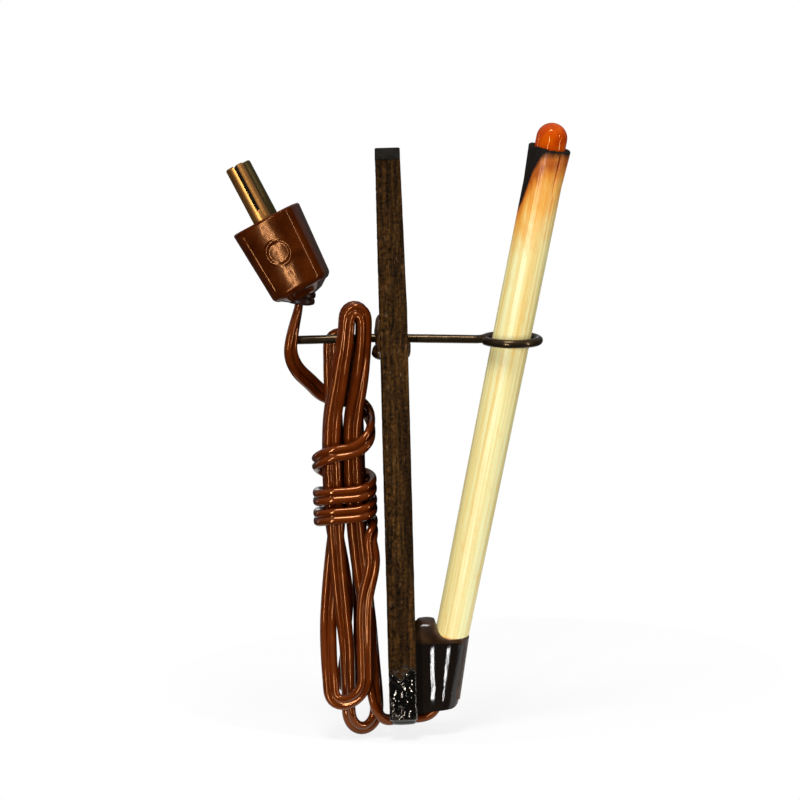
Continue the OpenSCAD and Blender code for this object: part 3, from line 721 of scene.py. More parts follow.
def cane_finish(s):
    """Cane: straw with long fibres in the rod's own frame, toasted and charred by the piece's own marks."""
    material, tree, shader = finish_of("Cane", Specular_IOR_Level=0.2, Coat_Roughness=0.2)
    upright = (-math.radians(ROD_TILT), 0, 0)
    g = grain(tree, where(tree, upright), 2600.0, 0.012, 0.06)
    middle = tone(np.add(s.straw, s.stripe), 0.5)
    fibres = ramp(tree, g["Fine"], (0.36, s.stripe), (0.46, middle), (0.56, s.straw),
                  (0.75, (1.0, 0.99, 0.72)))
    wide = ramp(tree, g["Coarse"], (0.36, (0.96, 0.88, 0.72)), (0.56, WHITE))
    base = blend(tree, 1.0, fibres, wide, "MULTIPLY")
    uneven = calc(tree, "SUBTRACT", noise(tree, where(tree, upright, (1, 1, 0.3)), 900.0, 4.0, 0.65), 0.5)
    toast, char = (calc(tree, "ADD", mark(tree, name), calc(tree, "MULTIPLY", uneven, share))
                   for name, share in (("toast", 0.7), ("char", 0.5)))
    tones = ramp(tree, toast, (0.05, WHITE), (0.4, (1.0, 0.62, 0.3)), (0.75, (0.85, 0.36, 0.1)),
                 (1.0, (0.5, 0.13, 0.03)))
    soot = ramp(tree, char, (0.3, BLACK), (0.7, WHITE))
    base = blend(tree, soot, blend(tree, 1.0, base, tones, "MULTIPLY"), (0.006, 0.0035, 0.002))
    bare = calc(tree, "SUBTRACT", 1.0, soot, clamp=True)
    feed(shader, "Coat Weight", calc(tree, "MULTIPLY", bare, 0.25))
    settled(shader, base, mix(tree, soot, 0.36, 0.7), g["Height"], 0.35, 0.00012)
    return material


def wire_finish(s):
    """Annealed wire: near black with worn metal along fine draw marks."""
    material, tree, shader = finish_of("Annealed wire", Metallic=0.8, Specular_IOR_Level=0.1)
    g = handled(tree, 0.12, 0.12, 900.0)
    settled(shader, blend(tree, g["Mask"], s.tint, tone(s.tint, 1.6)), g["Roughness"], g["Height"], 0.12)
    return material


def wrap_finish(s):
    """Glossy black wrap, brown where it is thin, with soft ripples."""
    material, tree, shader = finish_of("Black wrap", Specular_IOR_Level=0.5)
    g = handled(tree, 0.12, 0.05, 500.0)
    base = blend(tree, g["Mask"], s.black, tone(s.brown, 0.2))
    base = blend(tree, mark(tree, "thin"), base, tone(s.brown, 1.5))
    ripple = noise(tree, where(tree, scale=(1, 1, 0.6)), 900.0, 2.0, 0.5)
    settled(shader, base, g["Roughness"], ripple, 0.08, 0.0003)
    return material


def bulb_finish(s):
    """Orange glass, half clear, with a few seeds in it as a fine relief."""
    material, tree, shader = finish_of("Orange glass", IOR=1.45, Transmission_Weight=0.18,
                                       Specular_IOR_Level=0.4, Specular_Tint=(1, 0.6, 0.25))
    v = where(tree)
    pale = (min(1, 1.15 * s.tint[0]), 1.7 * s.tint[1], 1.5 * s.tint[2])
    tints = ramp(tree, noise(tree, v, 420.0, 2.0, 0.5), (0.35, tone(s.tint, 0.8)), (0.65, pale))
    seeds = ramp(tree, spots(tree, v, 900.0), (0.12, WHITE), (0.2, BLACK))
    settled(shader, tints, 0.06, seeds, 0.3)
    return material


def stem_finish():
    """Clear glass, a little clouded."""
    material, tree, shader = finish_of("Stem glass", Roughness=0.05, IOR=1.5, Transmission_Weight=0.8)
    cloud = handled(tree, 0.04, 0.05, 900.0)["Mask"]
    feed(shader, "Base Color", ramp(tree, cloud, (0.3, (0.78, 0.82, 0.8)), (0.7, (0.9, 0.93, 0.92))))
    return material


def metal_finish(name, tint, roughness, metallic=1.0, painted_slot_shade=None):
    """Bright metal, faintly handled; where the mark inside is 1 its colour can fall to a given share, as
    painted shade in a slot, which there also loses its metal and gloss.
    """
    material, tree, shader = finish_of(name, Metallic=metallic)
    g = handled(tree, roughness, 0.12, 800.0)
    base, dry = blend(tree, g["Mask"], tone(tint, 0.8), tint), g["Roughness"]
    if painted_slot_shade:
        # Painted shade: the inside of the slot is darkened, made matt and not metal
        deep = mark(tree, "inside")
        base = blend(tree, deep, base, tone(tint, painted_slot_shade))
        feed(shader, "Metallic", calc(tree, "SUBTRACT", metallic, deep, clamp=True))
        dry = calc(tree, "MAXIMUM", dry, deep)
    settled(shader, base, dry, g["Height"], 0.04)
    return material


def dress(node, material):
    """A CAD node keeps its shape and gets its finish."""
    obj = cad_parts[node]
    if not obj.material_slots:
        obj.data.materials.append(material)
    for s in obj.material_slots:
        s.material = material


# Operators

class TORCH_OT_flex(bpy.types.Operator):
    """Twin flex: from the rod's foot under the board, three and a half loops, the wraps and up to the plug"""

    bl_idname = "torch.flex"
    bl_label = "Flex"

    def execute(self, context):
        s = context.scene.torch_flex
        centre, t, thin = flex_route(s.pitch / MM)
        shape = skin(carried(twin_section(s.core / MM), centre, np.cross(t, thin), thin))
        obj = piece("flex", shape, flex_finish(s), "flex", "flex_tail", "flex_hank", "flex_lead")
        return {"FINISHED"}


PLUG_AT = (-0.5, 10.2, 7.0)
PLUG_ROLL, PLUG_LEAN, PLUG_TURN = 10.0, -28.1, -19.3
SLOT_TURN = 18.0


def in_plug(points):
    """From the plug's own frame, with its pins along z, to the torch's."""
    return turned_z(turned_x(turned_z(points, PLUG_ROLL), PLUG_LEAN), PLUG_TURN) + PLUG_AT


def rounded_square(count, p):
    """Points of |x|^p + |y|^p = 1, spaced evenly along the line."""
    a = np.linspace(0, 2 * math.pi, 4001)
    c, s = np.cos(a), np.sin(a)
    r = (np.abs(c) ** p + np.abs(s) ** p) ** (-1 / p)
    return even_ring(xyz(r * c, r * s, 0.0), count)


class TORCH_OT_plug(bpy.types.Operator):
    """Plug: tapered body with a round thumb mark and a moulding seam, sleeve, and two slotted pins"""

    bl_idname = "torch.plug"
    bl_label = "Plug"

    def body(self, s):
        """Rings of a rounded square, half as wide as h(z), closed by a dome below and a flat end above."""
        wide, deep, back, tall = sizes(s, "width depth back tall")
        low, high = 0.9, 0.3
        q = radians(np.linspace(0, 90, 14))[1:]
        profile = [(f, -1.15 * (1 - f ** 2) ** 1.3) for f in 0.57 * np.linspace(0, 1, 10)[1:]]
        profile += [(1 - low / (back / 2) * (1 - math.sin(v)), low * (1 - math.cos(v))) for v in q]
        profile += [(1.0, z) for z in np.linspace(low, tall - high, 110)[1:]]
        q = radians(np.linspace(0, 90, 6))[1:]
        profile += [(1 - high / (wide / 2) * (1 - math.cos(v)), tall - high + high * math.sin(v)) for v in q]
        profile += [(f, tall) for f in np.linspace(0.93, 0.06, 8)]
        f, z = np.array(profile).T[..., None]
        half_x, half_y = (np.interp(z, [0, tall], [back / 2, v / 2]) for v in (wide, deep))
        ring = rounded_square(264, 5.0)
        ring = ring * (1.04 - 0.085 * ring[:, ::-1] ** 2)
        x, y = f * half_x * ring[:, 0], f * half_y * ring[:, 1]
        out = unit(xyz(power(x, 3), power(y, 3), 0.0) + 1e-9)
        on_side = step(z, 0.9, 1.8) * (1 - step(z, tall - 1, tall - 0.5)) * (x < 0)
        share = y / half_y
        seams = (-0.12 * hump(share, 0.84, 0.028) + 0.07 * hump(share, 0.75, 0.05)
                 - 0.1 * hump(share, 0.64, 0.026))
        far = np.hypot(y + 0.3, z - 6)
        thumb = -0.05 * (1 - step(far, 1.3, 1.6)) + 0.03 * hump(far, 1.75, 0.16)
        worn = 0.014 * np.clip(rough(2.0, y * 1.4, z * 0.7, 91), -1, 0)
        sunk = (seams + worn) * on_side + thumb * (x < 0)
        return skin(xyz(x, y, z) + out * sunk[..., None])

    def pin(self, side):
        """A pin: a full shaft, then two halves with the slot between them, each closed at its end."""
        r, tall, slot, deep, tip = 1.3, 8.3, 0.25, 7.0, 0.2
        out, seat = 2.4, 11
        z = tall - deep
        parts = [skin(turned([(0.9, -5.5), (0.9, -0.02), (r, 0.0), (r, z + 0.05), (r - 0.02, z + 0.08)], 64))]
        start = math.asin(slot / r)
        a = np.linspace(start, math.pi - start, 40)
        flat = np.linspace(-1, 1, 9)[1:-1] * math.cos(start)
        half = xyz(np.append(np.cos(a), flat), np.append(np.sin(a), 0 * flat), 1.0)
        stations = np.array([(r, z - 0.05), (r, tall - tip), (r - tip * 0.6, tall - tip * 0.3),
                             (r - tip, tall)])
        for up in (1, -1):
            p = half * stations[:, None, [0, 0, 1]]
            p[..., 1] = np.maximum(p[..., 1], slot) * up
            parts.append(skin(p[:, ::up]))
        points, faces = joined(*parts)
        x, y, z = np.abs(points[:, 0]), np.abs(points[:, 1]), points[:, 2]
        # The slot's inside faces, which get painted shade in the finish
        inside = (y < slot + 0.01) & (z > tall - deep - 0.1) & (x < 1.2)
        return (in_plug(turned_z(points, SLOT_TURN) + [side * out, 0, seat]), faces), inside

    def execute(self, context):
        s = context.scene.torch_plug
        plastic = plain_gloss("Plug moulding", s.shade, s.light, 0.11, 0.06, 0.3, 0.01, 500.0, matt="end",
                              Specular_Tint=(1, 0.45, 0.18))
        body = self.body(s)
        end = body[0][:, 2] > s.tall / MM - 0.1
        piece("plug", moved(body, in_plug), plastic, "plug", "plug_body", smooth=40, marks={"end": end})
        long, radius, groove, pitch = 3.2, 2.1, 0.16, 0.9
        z = np.linspace(0, long, 60)
        ribs = radius - groove * (0.5 + 0.5 * np.cos(2 * math.pi * z / pitch)) ** 3
        ribs[:3] -= [0.25, 0.12, 0.04]
        sleeve = moved(skin(turned(np.stack([ribs, z], 1), 64)), lambda p: turned_x(p, MOUTH_LEAN) + MOUTH_AT)
        dark = plain_gloss("Sleeve moulding", (0.012, 0.003, 0.001), (0.028, 0.007, 0.002), 0.25, 0.2, 0.2)
        piece("plug_sleeve", sleeve, dark, "plug", "plug_grommet", smooth=35)
        # The rear pin's darker colour is painted shade: it is the same brass, standing behind the front pin
        for name, side, tint in (("pin_a", -1, s.metal), ("pin_b", 1, s.rear_pin_shade)):
            shape, inside = self.pin(side)
            # Painted shade darkens the slot's inside faces to 4 % of the brass colour
            brass = metal_finish(f"Brass of {name}", tint, 0.32, painted_slot_shade=0.04)
            piece(name, shape, brass, "pin", f"plug_{name}", smooth=30, marks={"inside": inside})
        dress("plug_carrier", plain_gloss("Carrier moulding", (0.6, 0.56, 0.46), (0.74, 0.7, 0.6),
                                          0.45, 0.2, 0.4))
        dress("plug_flex_end", metal_finish("Flex ends", (0.35, 0.16, 0.06), 0.35, 0.4))
        return {"FINISHED"}


class TORCH_OT_board(bpy.types.Operator):
    """Board: sawn stained wood with torn fibres along its edges"""

    bl_idname = "torch.board"
    bl_label = "Board"

    def outline(self, w, t, edge):
        """A rectangle with cut corners as a closed line, with y from 0 at the back to -t at the front."""
        x = w / 2
        return np.array([(-x, -edge, 0), (-x + edge, 0, 0), (x - edge, 0, 0), (x, -edge, 0),
                         (x, -t + edge, 0), (x - edge, -t, 0), (-x + edge, -t, 0), (-x, -t + edge, 0),
                         (-x, -edge, 0)])

    def execute(self, context):
        s = context.scene.torch_board
        w, t, up, down = sizes(s, "width thick rise drop")
        edge = 0.25
        z = np.concatenate([np.linspace(-down, -down + edge, 3)[:-1],
                            np.linspace(-down + edge, up - 0.08, 330), [up]])[:, None]
        inset = np.interp(z, [-down, -down + edge, up - 0.08, up], [edge, 0, 0, 0.08])
        thick = np.interp(z, [-down, 4, up], [t, t, t - 0.45])
        ring = even_ring(self.outline(w, t, edge), 140)
        x = ring[:, 0] * (1 - inset / (w / 2))
        y = -(thick - inset) + (ring[:, 1] + t) / t * (thick - 2 * inset)
        side, face = np.abs(np.abs(x) - w / 2), np.minimum(-y, y + thick)
        saw = rough(x * 2.2, y * 2.2, z * 0.28, 3)
        torn = np.clip(lumps(x * 1.3, y * 1.3, z * 1.6, 9) + 0.5 * lumps(x * 3, y * 3, z * 4, 12), 0, 1)
        dip = 0.05 + 0.07 * saw + 0.3 * torn * hump(np.minimum(side, face), 0, 0.45) * (y > -t * 0.5)
        dip = np.clip(dip, 0, 0.35) * step(z, -down, -down + 1) * (1 - step(z, up - 0.5, up - 0.1))
        out = xyz(np.sign(x) * (side < 0.26), np.sign(y + thick / 2) * (face < 0.26), 0.0)
        shape = skin(xyz(x, y, z) - unit(out + 1e-9) * dip[..., None])
        piece("board", shape, board_finish(s), "board", "wall_board", smooth=50)
        return {"FINISHED"}


class TORCH_OT_wire(bpy.types.Operator):
    """Bracket wire: the wall pin, the arm with its slight droop, and the open eye round the rod"""

    bl_idname = "torch.wire"
    bl_label = "Bracket wire"

    def execute(self, context):
        s = context.scene.torch_wire
        thick, pin = sizes(s, "thick pin")
        droop, bend, eye, gap, pitch = 2.3, 1.2, 3.775, 30.0, 0.2
        lean = math.tan(math.radians(ROD_TILT))
        d = math.radians(droop)
        reach = (-ROD_AT[1] - ROD_AT[2] * lean) / (math.cos(d) + lean * math.sin(d))
        turn = math.degrees(math.acos(bend / (eye + bend)))
        root = reach - (eye + bend) * math.sin(math.radians(turn))
        a = radians(np.linspace(180, 180 + turn, 16))
        corner = np.stack([bend + bend * np.cos(a), -root + bend * np.sin(a)], 1)
        a = radians(np.linspace(turn, turn - 360 + gap, 110))
        loop = np.stack([eye * np.cos(a), eye * np.sin(a) - reach], 1)
        arm = np.stack([np.zeros(30), np.linspace(0, -root, 30)], 1)
        flat = np.vstack([arm[:-1], corner[:-1], loop])
        flat = turned_x(xyz(*flat.T, 0.0), droop)
        straight = xyz(0.0, np.linspace(pin, 0, 24), 0.0)
        line = softened(even(np.vstack([straight[:-1], flat]), pitch), 1.5)
        t = along(line)
        side = unit(np.cross(t, [0.0, 0, 1.0]))
        n = np.arange(len(line))
        ends = np.minimum(n, n[::-1]) * pitch
        r = thick / 2 * np.sqrt(1 - np.clip(1 - ends / 0.35, 0, 0.93) ** 2)
        r = r * (1 - 0.015 * (1 + lumps(line[:, 0] * 0.9, line[:, 1] * 0.9, line[:, 2], 5)))
        a = np.linspace(0, 2 * math.pi, 28, endpoint=False)
        section = r[:, None, None] * np.stack([np.cos(a), np.sin(a)], 1)
        shape = skin(carried(section, line, side, np.cross(side, t)))
        piece("wire", shape, wire_finish(s), "wire", "bracket_wire")
        return {"FINISHED"}


class TORCH_OT_rod(bpy.types.Operator):
    """Rod: hollow cane with long fibres, a flared and charred mouth with a split, and a tenon below"""

    bl_idname = "torch.rod"
    bl_label = "Rod"

    def execute(self, context):
        s = context.scene.torch_rod
        full, foot, mouth, tall = sizes(s, "thick foot mouth tall")
        count, bore, seat, tenon, seat_at = 232, 1.3, 2.225, 1.75, 61.5
        a = np.linspace(0, 2 * math.pi, count, endpoint=False)
        ca, sa, turn = np.cos(a), np.sin(a), np.degrees(a)
        lean = math.radians(ROD_TILT)
        shoulder = (0.05 - foot / 2 * sa * math.sin(lean)) / math.cos(lean)
        uneven = (0.28 * np.abs(lumps(ca * 2.2 + 7, sa * 2.2 + 3, 0.5, 21))
                  + 0.12 * np.abs(lumps(ca * 7, sa * 7, 0.5, 22)))
        top = tall - uneven
        # Rows of (radius, height, share of the bark): tenon, outside, lip, seat and bore
        rows = [(bore, FLEX_END, 0), (tenon, FLEX_END, 0), (tenon, -5, 0), (tenon, -0.9, 0),
                (tenon, shoulder, 0)]
        for t in np.linspace(0, 1, 300):
            z = shoulder + (top - shoulder) * t
            r = np.interp(z, [0, 1, 0.68 * tall, tall - 5, tall],
                          [foot / 2, foot / 2, full / 2, full / 2, mouth / 2])
            rows.append((r, z, 1))
        for f in (0.25, 0.5, 0.75):
            rows.append((mouth / 2 + (seat - mouth / 2) * f, top + 0.04 * math.sin(math.pi * f), 0.5))
        rows += [(seat, top - z, 0) for z in (0.0, 0.3, 1, 2, 4)]
        rows += [(seat, seat_at, 0)] + [(bore, z, 0) for z in np.linspace(seat_at, FLEX_END, 14)[:-1]]
        r, z, outer = filled(rows, count)
        ridge = (0.035 * rough(ca * 5 + 11, sa * 5 + 5, z * 0.02, 31)
                 + 0.02 * lumps(ca * 22, sa * 22, z * 0.05, 35))
        bark = 0.06 * np.clip(lumps(ca * 3, sa * 3, z * 0.35, 38), 0, 1) * step(z, tall - 16, tall)
        r = r + outer * (ridge - 0.04 - bark)
        off = (turn - 215 + 180) % 360 - 180
        wander = 1.3 * lumps(z * 0.5, 0.5, 0.5, 41)
        split = hump(off - wander, 0, 2.6) * step(z, tall - 7, tall - 3)
        r = np.where(outer > 0.4, r - split * (r - seat - 0.02) * 0.9, r)
        below = tall - z
        wallward = 0.5 + 0.5 * np.cos(np.radians((turn - 100 + 180) % 360 - 180))
        reach = 0.8 + 8.6 * wallward ** 9 + 0.4 * lumps(ca * 3, sa * 3, z * 0.2, 51)
        char = (np.clip(0.5 + (reach - below) / 2.6, 0, 1) * (outer > 0)
                + (outer == 0) * (z > seat_at - 1) * 0.9)
        toast = 0.85 * np.clip((15.5 + 5 * (wallward - 0.5) - below) / 15.5, 0, 1)
        toast = np.clip(toast + 0.4 * np.clip(1 - (below - reach) / 4, 0, 1), 0, 1)
        toast = np.maximum(toast, 0.55 * (1 - step(z, 0.1, 0.4)))
        shape = skin(on_rod(xyz(r * ca, r * sa, z)), loop=True)
        piece("rod", shape, cane_finish(s), "cane", "torch_rod", smooth=50,
              marks={"toast": toast, "char": char})
        return {"FINISHED"}


FOOT_LEAN = 9.6
RIM_Z, FOOT_Z = -42.0, -52.2


def foot_y(y, z):
    """Where a point of the wrap's plan, y from the rod's axis, stands at height z, as the foot leans."""
    lean = math.radians(FOOT_LEAN)
    return y / math.cos(lean) - (z - RIM_Z) * math.tan(lean) + ROD_AT[1]


class TORCH_OT_foot(bpy.types.Operator):
    """Foot: the thin black wrap, the resin inside it with its mound, and the glue under the board"""

    bl_idname = "torch.foot"
    bl_label = "Foot"

    def wrap(self, s):
        """A U in plan, from the board round the rod and back; each section is a thin standing strip."""
        r, wall, straight = 2.35, s.wall / MM, 4.75
        near, rise, curve = -3.7, 0.45, 1.4
        lean = math.radians(FOOT_LEAN)
        total = 2 * straight + math.pi * r
        d = (np.linspace(0, 1, 150) * total)[:, None]
        a = np.clip((d - straight) / r, 0, math.pi)
        x, y = -np.cos(a), -np.sin(a)
        back = np.where(d < straight, straight - d, np.where(d > total - straight, d - total + straight, 0))
        v = np.concatenate([np.linspace(0, 1, 60), np.linspace(1, 0, 60)])
        inner = np.repeat([0.0, 1.0], 60)
        front = -(ROD_AT[1] - (FOOT_Z + rise + curve - RIM_Z) * math.tan(lean) - r / math.cos(lean))
        px, py = x * (r - wall * inner), y * (r - wall * inner) + back
        low = np.full_like(px, FOOT_Z)
        for _ in range(6):
            yw = np.minimum(foot_y(py, low), near)
            over = np.clip(-front + curve - yw, 0, curve)
            slope = rise * np.clip((near - yw) / (near + front - curve), 0, 1)
            low = FOOT_Z + slope + curve - np.sqrt(curve * curve - over * over)
        high = RIM_Z + np.clip(0.12 * lumps(d * 0.55, inner * 0, 0.3, 61), -0.1, 0.0)
        z = low + (high - low) * v
        below = RIM_Z - z
        ahead = -foot_y(py, z)
        out = ahead + 0.12 * below * step(ahead, 6.4, 7.6)
        out = out + 0.1 * lumps(z * 0.8, 0.3, 0.5, 63) + 0.05 * lumps(z * 2.2, 0.3, 0.5, 64)
        fold = np.interp(out, [3.7, 4.9, 5.75, 6.45, 7.3, 8.2, 8.9, 9.6],
                         [-0.02, -0.1, -0.15, -0.038, -0.12, -0.16, -0.048, -0.05])
        fold = -0.05 + (fold + 0.05) * step(below, 0.2, 1.1) * (1 - step(below, 8.0, 9.3))
        fold = fold - 0.02 * (1 + lumps(d * 0.8, z * 0.35, 0.7, 63))
        fold = np.clip(fold, -0.4, 0.0) * step(near + ahead, 0, 0.8)
        yw = np.minimum(foot_y(py + y * fold, z), near)
        thin = np.append(step(a, 0.95, 1.35) + 0 * z, [0, 0])
        return skin(xyz(px + x * fold, yw, z)), thin

    def resin(self, s):
        """Stations in y; each section goes up inside the wrap, out over its rim and over the dome, whose
        height falls as e^(-d / 0.6) in front of the rod's back."""
        high, near, front = s.mound / MM, -3.71, -6.5
        y = -2.46 + 7.5 * (0.5 - 0.5 * np.cos(np.linspace(0, math.pi, 96)))
        narrow = np.sqrt(np.clip(1 - np.clip(-y / 2.5, 0, 1) ** 2, 0.0016, 1))
        yw = np.minimum(foot_y(y, RIM_Z), near)
        crest = np.where(yw > front, high * (1 - 0.10 * ((yw + 5.4) / 1.5) ** 2),
                         0.28 + (high - 0.43) * np.exp(-(front - yw) / 0.6))
        crest = crest - 0.25 * step(yw, -4.4, -3.95)
        a = radians(np.linspace(0, 180, 41))
        bottom = FOOT_Z + 1.6
        level = bottom + (RIM_Z - 0.2 - bottom) * np.linspace(0, 1, 12)[:-1]
        half_in, half_out = 2.03 * narrow, 2.36 * narrow + 0.1
        rows = [(half_in, z) for z in level]
        rows += [(half_out * dx, RIM_Z - 0.02 + (crest + 0.02) * dz)
                 for dx, dz in zip(power(np.cos(a), 0.75), np.sin(a) ** 0.8)]
        rows += ([(-half_in, z) for z in level[::-1]]
                 + [(half_in * f, bottom) for f in np.linspace(-1, 1, 8)[1:-1]])
        x, z = (v.T for v in filled(rows, len(y)))
        yy = np.minimum(foot_y(np.maximum(y, -2.42)[:, None], np.minimum(z, RIM_Z)), near)
        above = step(z, RIM_Z + 0.1, RIM_Z + 0.8)
        uneven = 0.14 * above * (0.5 + 0.5 * lumps(x * 0.9, yy * 0.9, z * 0.3, 71))
        return skin(xyz(x, yy, z - uneven))

    def under(self):
        """Glue saddle: half a rounded section, 1.43 deep, under the board and rounded at both ends."""
        y = np.linspace(-0.15, -3.75, 50)[:, None]
        f = np.sqrt(np.sqrt(np.clip(1 - ((y + 1.95) / 1.84) ** 6, 0.003, 1)))
        a = radians(np.linspace(180, 360, 40))
        deep = -np.abs(np.sin(a)) ** 0.75 * 1.42
        x = f * (power(np.cos(a), 0.6) * 2.25) - 0.3
        z = -52.58 + (0.25 + 0.75 * f) * deep
        z = z + 0.12 * (0.5 + 0.5 * lumps(x * 1.1, y * 1.3, 0.5, 75)) * (deep < -0.3)
        return skin(xyz(x, y, z))

    def execute(self, context):
        s = context.scene.torch_foot
        black = wrap_finish(s)
        shape, thin = self.wrap(s)
        piece("wrap", shape, black, "wrap", "foot_wrap", marks={"thin": thin})
        brown = plain_gloss("Brown resin", tone(s.brown, 0.5), tone(s.brown, 1.6),
                            0.06, 0.12, 0.3, 0.06, 380.0)
        piece("resin", self.resin(s), brown, "resin", "foot_resin")
        piece("under_glue", self.under(), black, "wrap", "end_glue")
        return {"FINISHED"}


class TORCH_OT_bulb(bpy.types.Operator):
    """Bulb: orange glass with its stem, wires and filament, and the pieces behind it in the rod"""

    bl_idname = "torch.bulb"
    bl_label = "Bulb"

    def execute(self, context):
        s = context.scene.torch_bulb
        thick, tall, wall = sizes(s, "thick tall wall")
        r, count, mouth_at, stands_out = thick / 2, 96, 69.4, 3.4
        i = r - wall
        shoulder = tall - r
        q = radians(np.linspace(0, 89, 28))
        out = [(r, z) for z in np.linspace(0, shoulder, 20)]
        out += [(r * math.cos(v), shoulder + r * math.sin(v)) for v in q[1:]]
        inn = [(i * math.cos(v), shoulder + i * math.sin(v)) for v in q[::-1]]
        inn += [(i, z) for z in np.linspace(shoulder, 0, 20)[1:]]
        points, faces = skin(turned(out + inn, count), loop=True)
        # The quads between the two tips make way for a fan at each tip
        quads = faces[0].reshape(-1, count, 4)
        quads = np.concatenate([quads[:len(out) - 1], quads[len(out):]]).reshape(-1, 4)
        n, k = len(points), np.arange(count)
        a, b, nxt = (len(out) - 1) * count, len(out) * count, (k + 1) % count
        tips = [np.stack([a + k, a + nxt, np.full(count, n)], 1),
                np.stack([b + nxt, b + k, np.full(count, n + 1)], 1)]
        points = np.vstack([points, [0, 0, tall], [0, 0, tall - wall]]) + [0, 0, mouth_at + stands_out - tall]
        piece("bulb", (on_rod(points), [quads, *tips]), bulb_finish(s), "bulb", "bulb_envelope")
        dress("bulb_stem", stem_finish())
        for node, name, tint, roughness in (
                ("bulb_wires", "Nickel wire", (0.6, 0.56, 0.5), 0.25),
                ("bulb_filament", "Tungsten", (0.35, 0.33, 0.32), 0.4),
                ("splice_sleeves", "Tinned sleeve", (0.7, 0.7, 0.72), 0.3),
                ("core_wires", "Copper", (0.72, 0.36, 0.17), 0.25)):
            dress(node, metal_finish(name, tint, roughness))
        dress("bulb_bedding", plain_gloss("Pale cement", (0.5, 0.45, 0.34), (0.66, 0.6, 0.48),
                                          0.75, 0.2, 0.3, 0.4))
        dress("flex_riser", flex_finish(context.scene.torch_flex))
        return {"FINISHED"}


class TORCH_OT_glue(bpy.types.Operator):
    """Glue: the lumpy bead round the wire behind the board and the small one under the arm"""

    bl_idname = "torch.glue"
    bl_label = "Glue"

    def bead(self, at_x, at_z, radius, high, seed, way=1, face=0.0):
        """A cap over polar rings: height h (1 - q^2.2)^0.6 with a lumpy rim, q from 0 at the middle to 1."""
        q = np.concatenate([np.linspace(0.02, 0.9, 22), np.linspace(0.93, 1, 8)])[:, None]
        a = np.linspace(0, 2 * math.pi, 72, endpoint=False)
        rim = radius * (1 - 0.1 * (1 + lumps(np.cos(a) * 1.4, np.sin(a) * 1.4, 0.5, seed)))
        x, z = at_x + q * rim * np.cos(a), at_z + q * rim * np.sin(a)
        h = high * (1 - q ** 2.2) ** 0.6 * (1 - 0.12 * (1 + lumps(x * 1.2, z * 1.2, 0.4, seed + 1)))
        front = xyz(x, face + way * h, z)
        base = front[-1:].copy()
        base[..., 1] = face - way * 0.02
        return skin(np.concatenate([front, base]))

    def execute(self, context):
        s = context.scene.torch_glue
        amber = plain_gloss("Amber glue", tone(s.amber, 0.35), s.amber, 0.1, 0.12, 0.25, 0.15, 420.0)
        rear = joined(self.bead(0.9, 0.4, *sizes(s, "reach high"), 81), self.bead(0.8, -2.0, 1.3, 1.3, 83))
        piece("rear_glue", rear, amber, "glue", "rear_glue_bead")
        piece("front_glue", self.bead(0.0, -1.55, 1.4, 0.4, 85, -1, -3.9), amber, "glue", "front_glue_bead")
        return {"FINISHED"}


def rays(tree):
    """Masks of the camera's rays, and of rays that were mirrored or went through glass."""
    path = add(tree, "LightPath").outputs
    return path["Is Camera Ray"], calc(tree, "MAXIMUM", path["Is Glossy Ray"], path["Is Transmission Ray"])


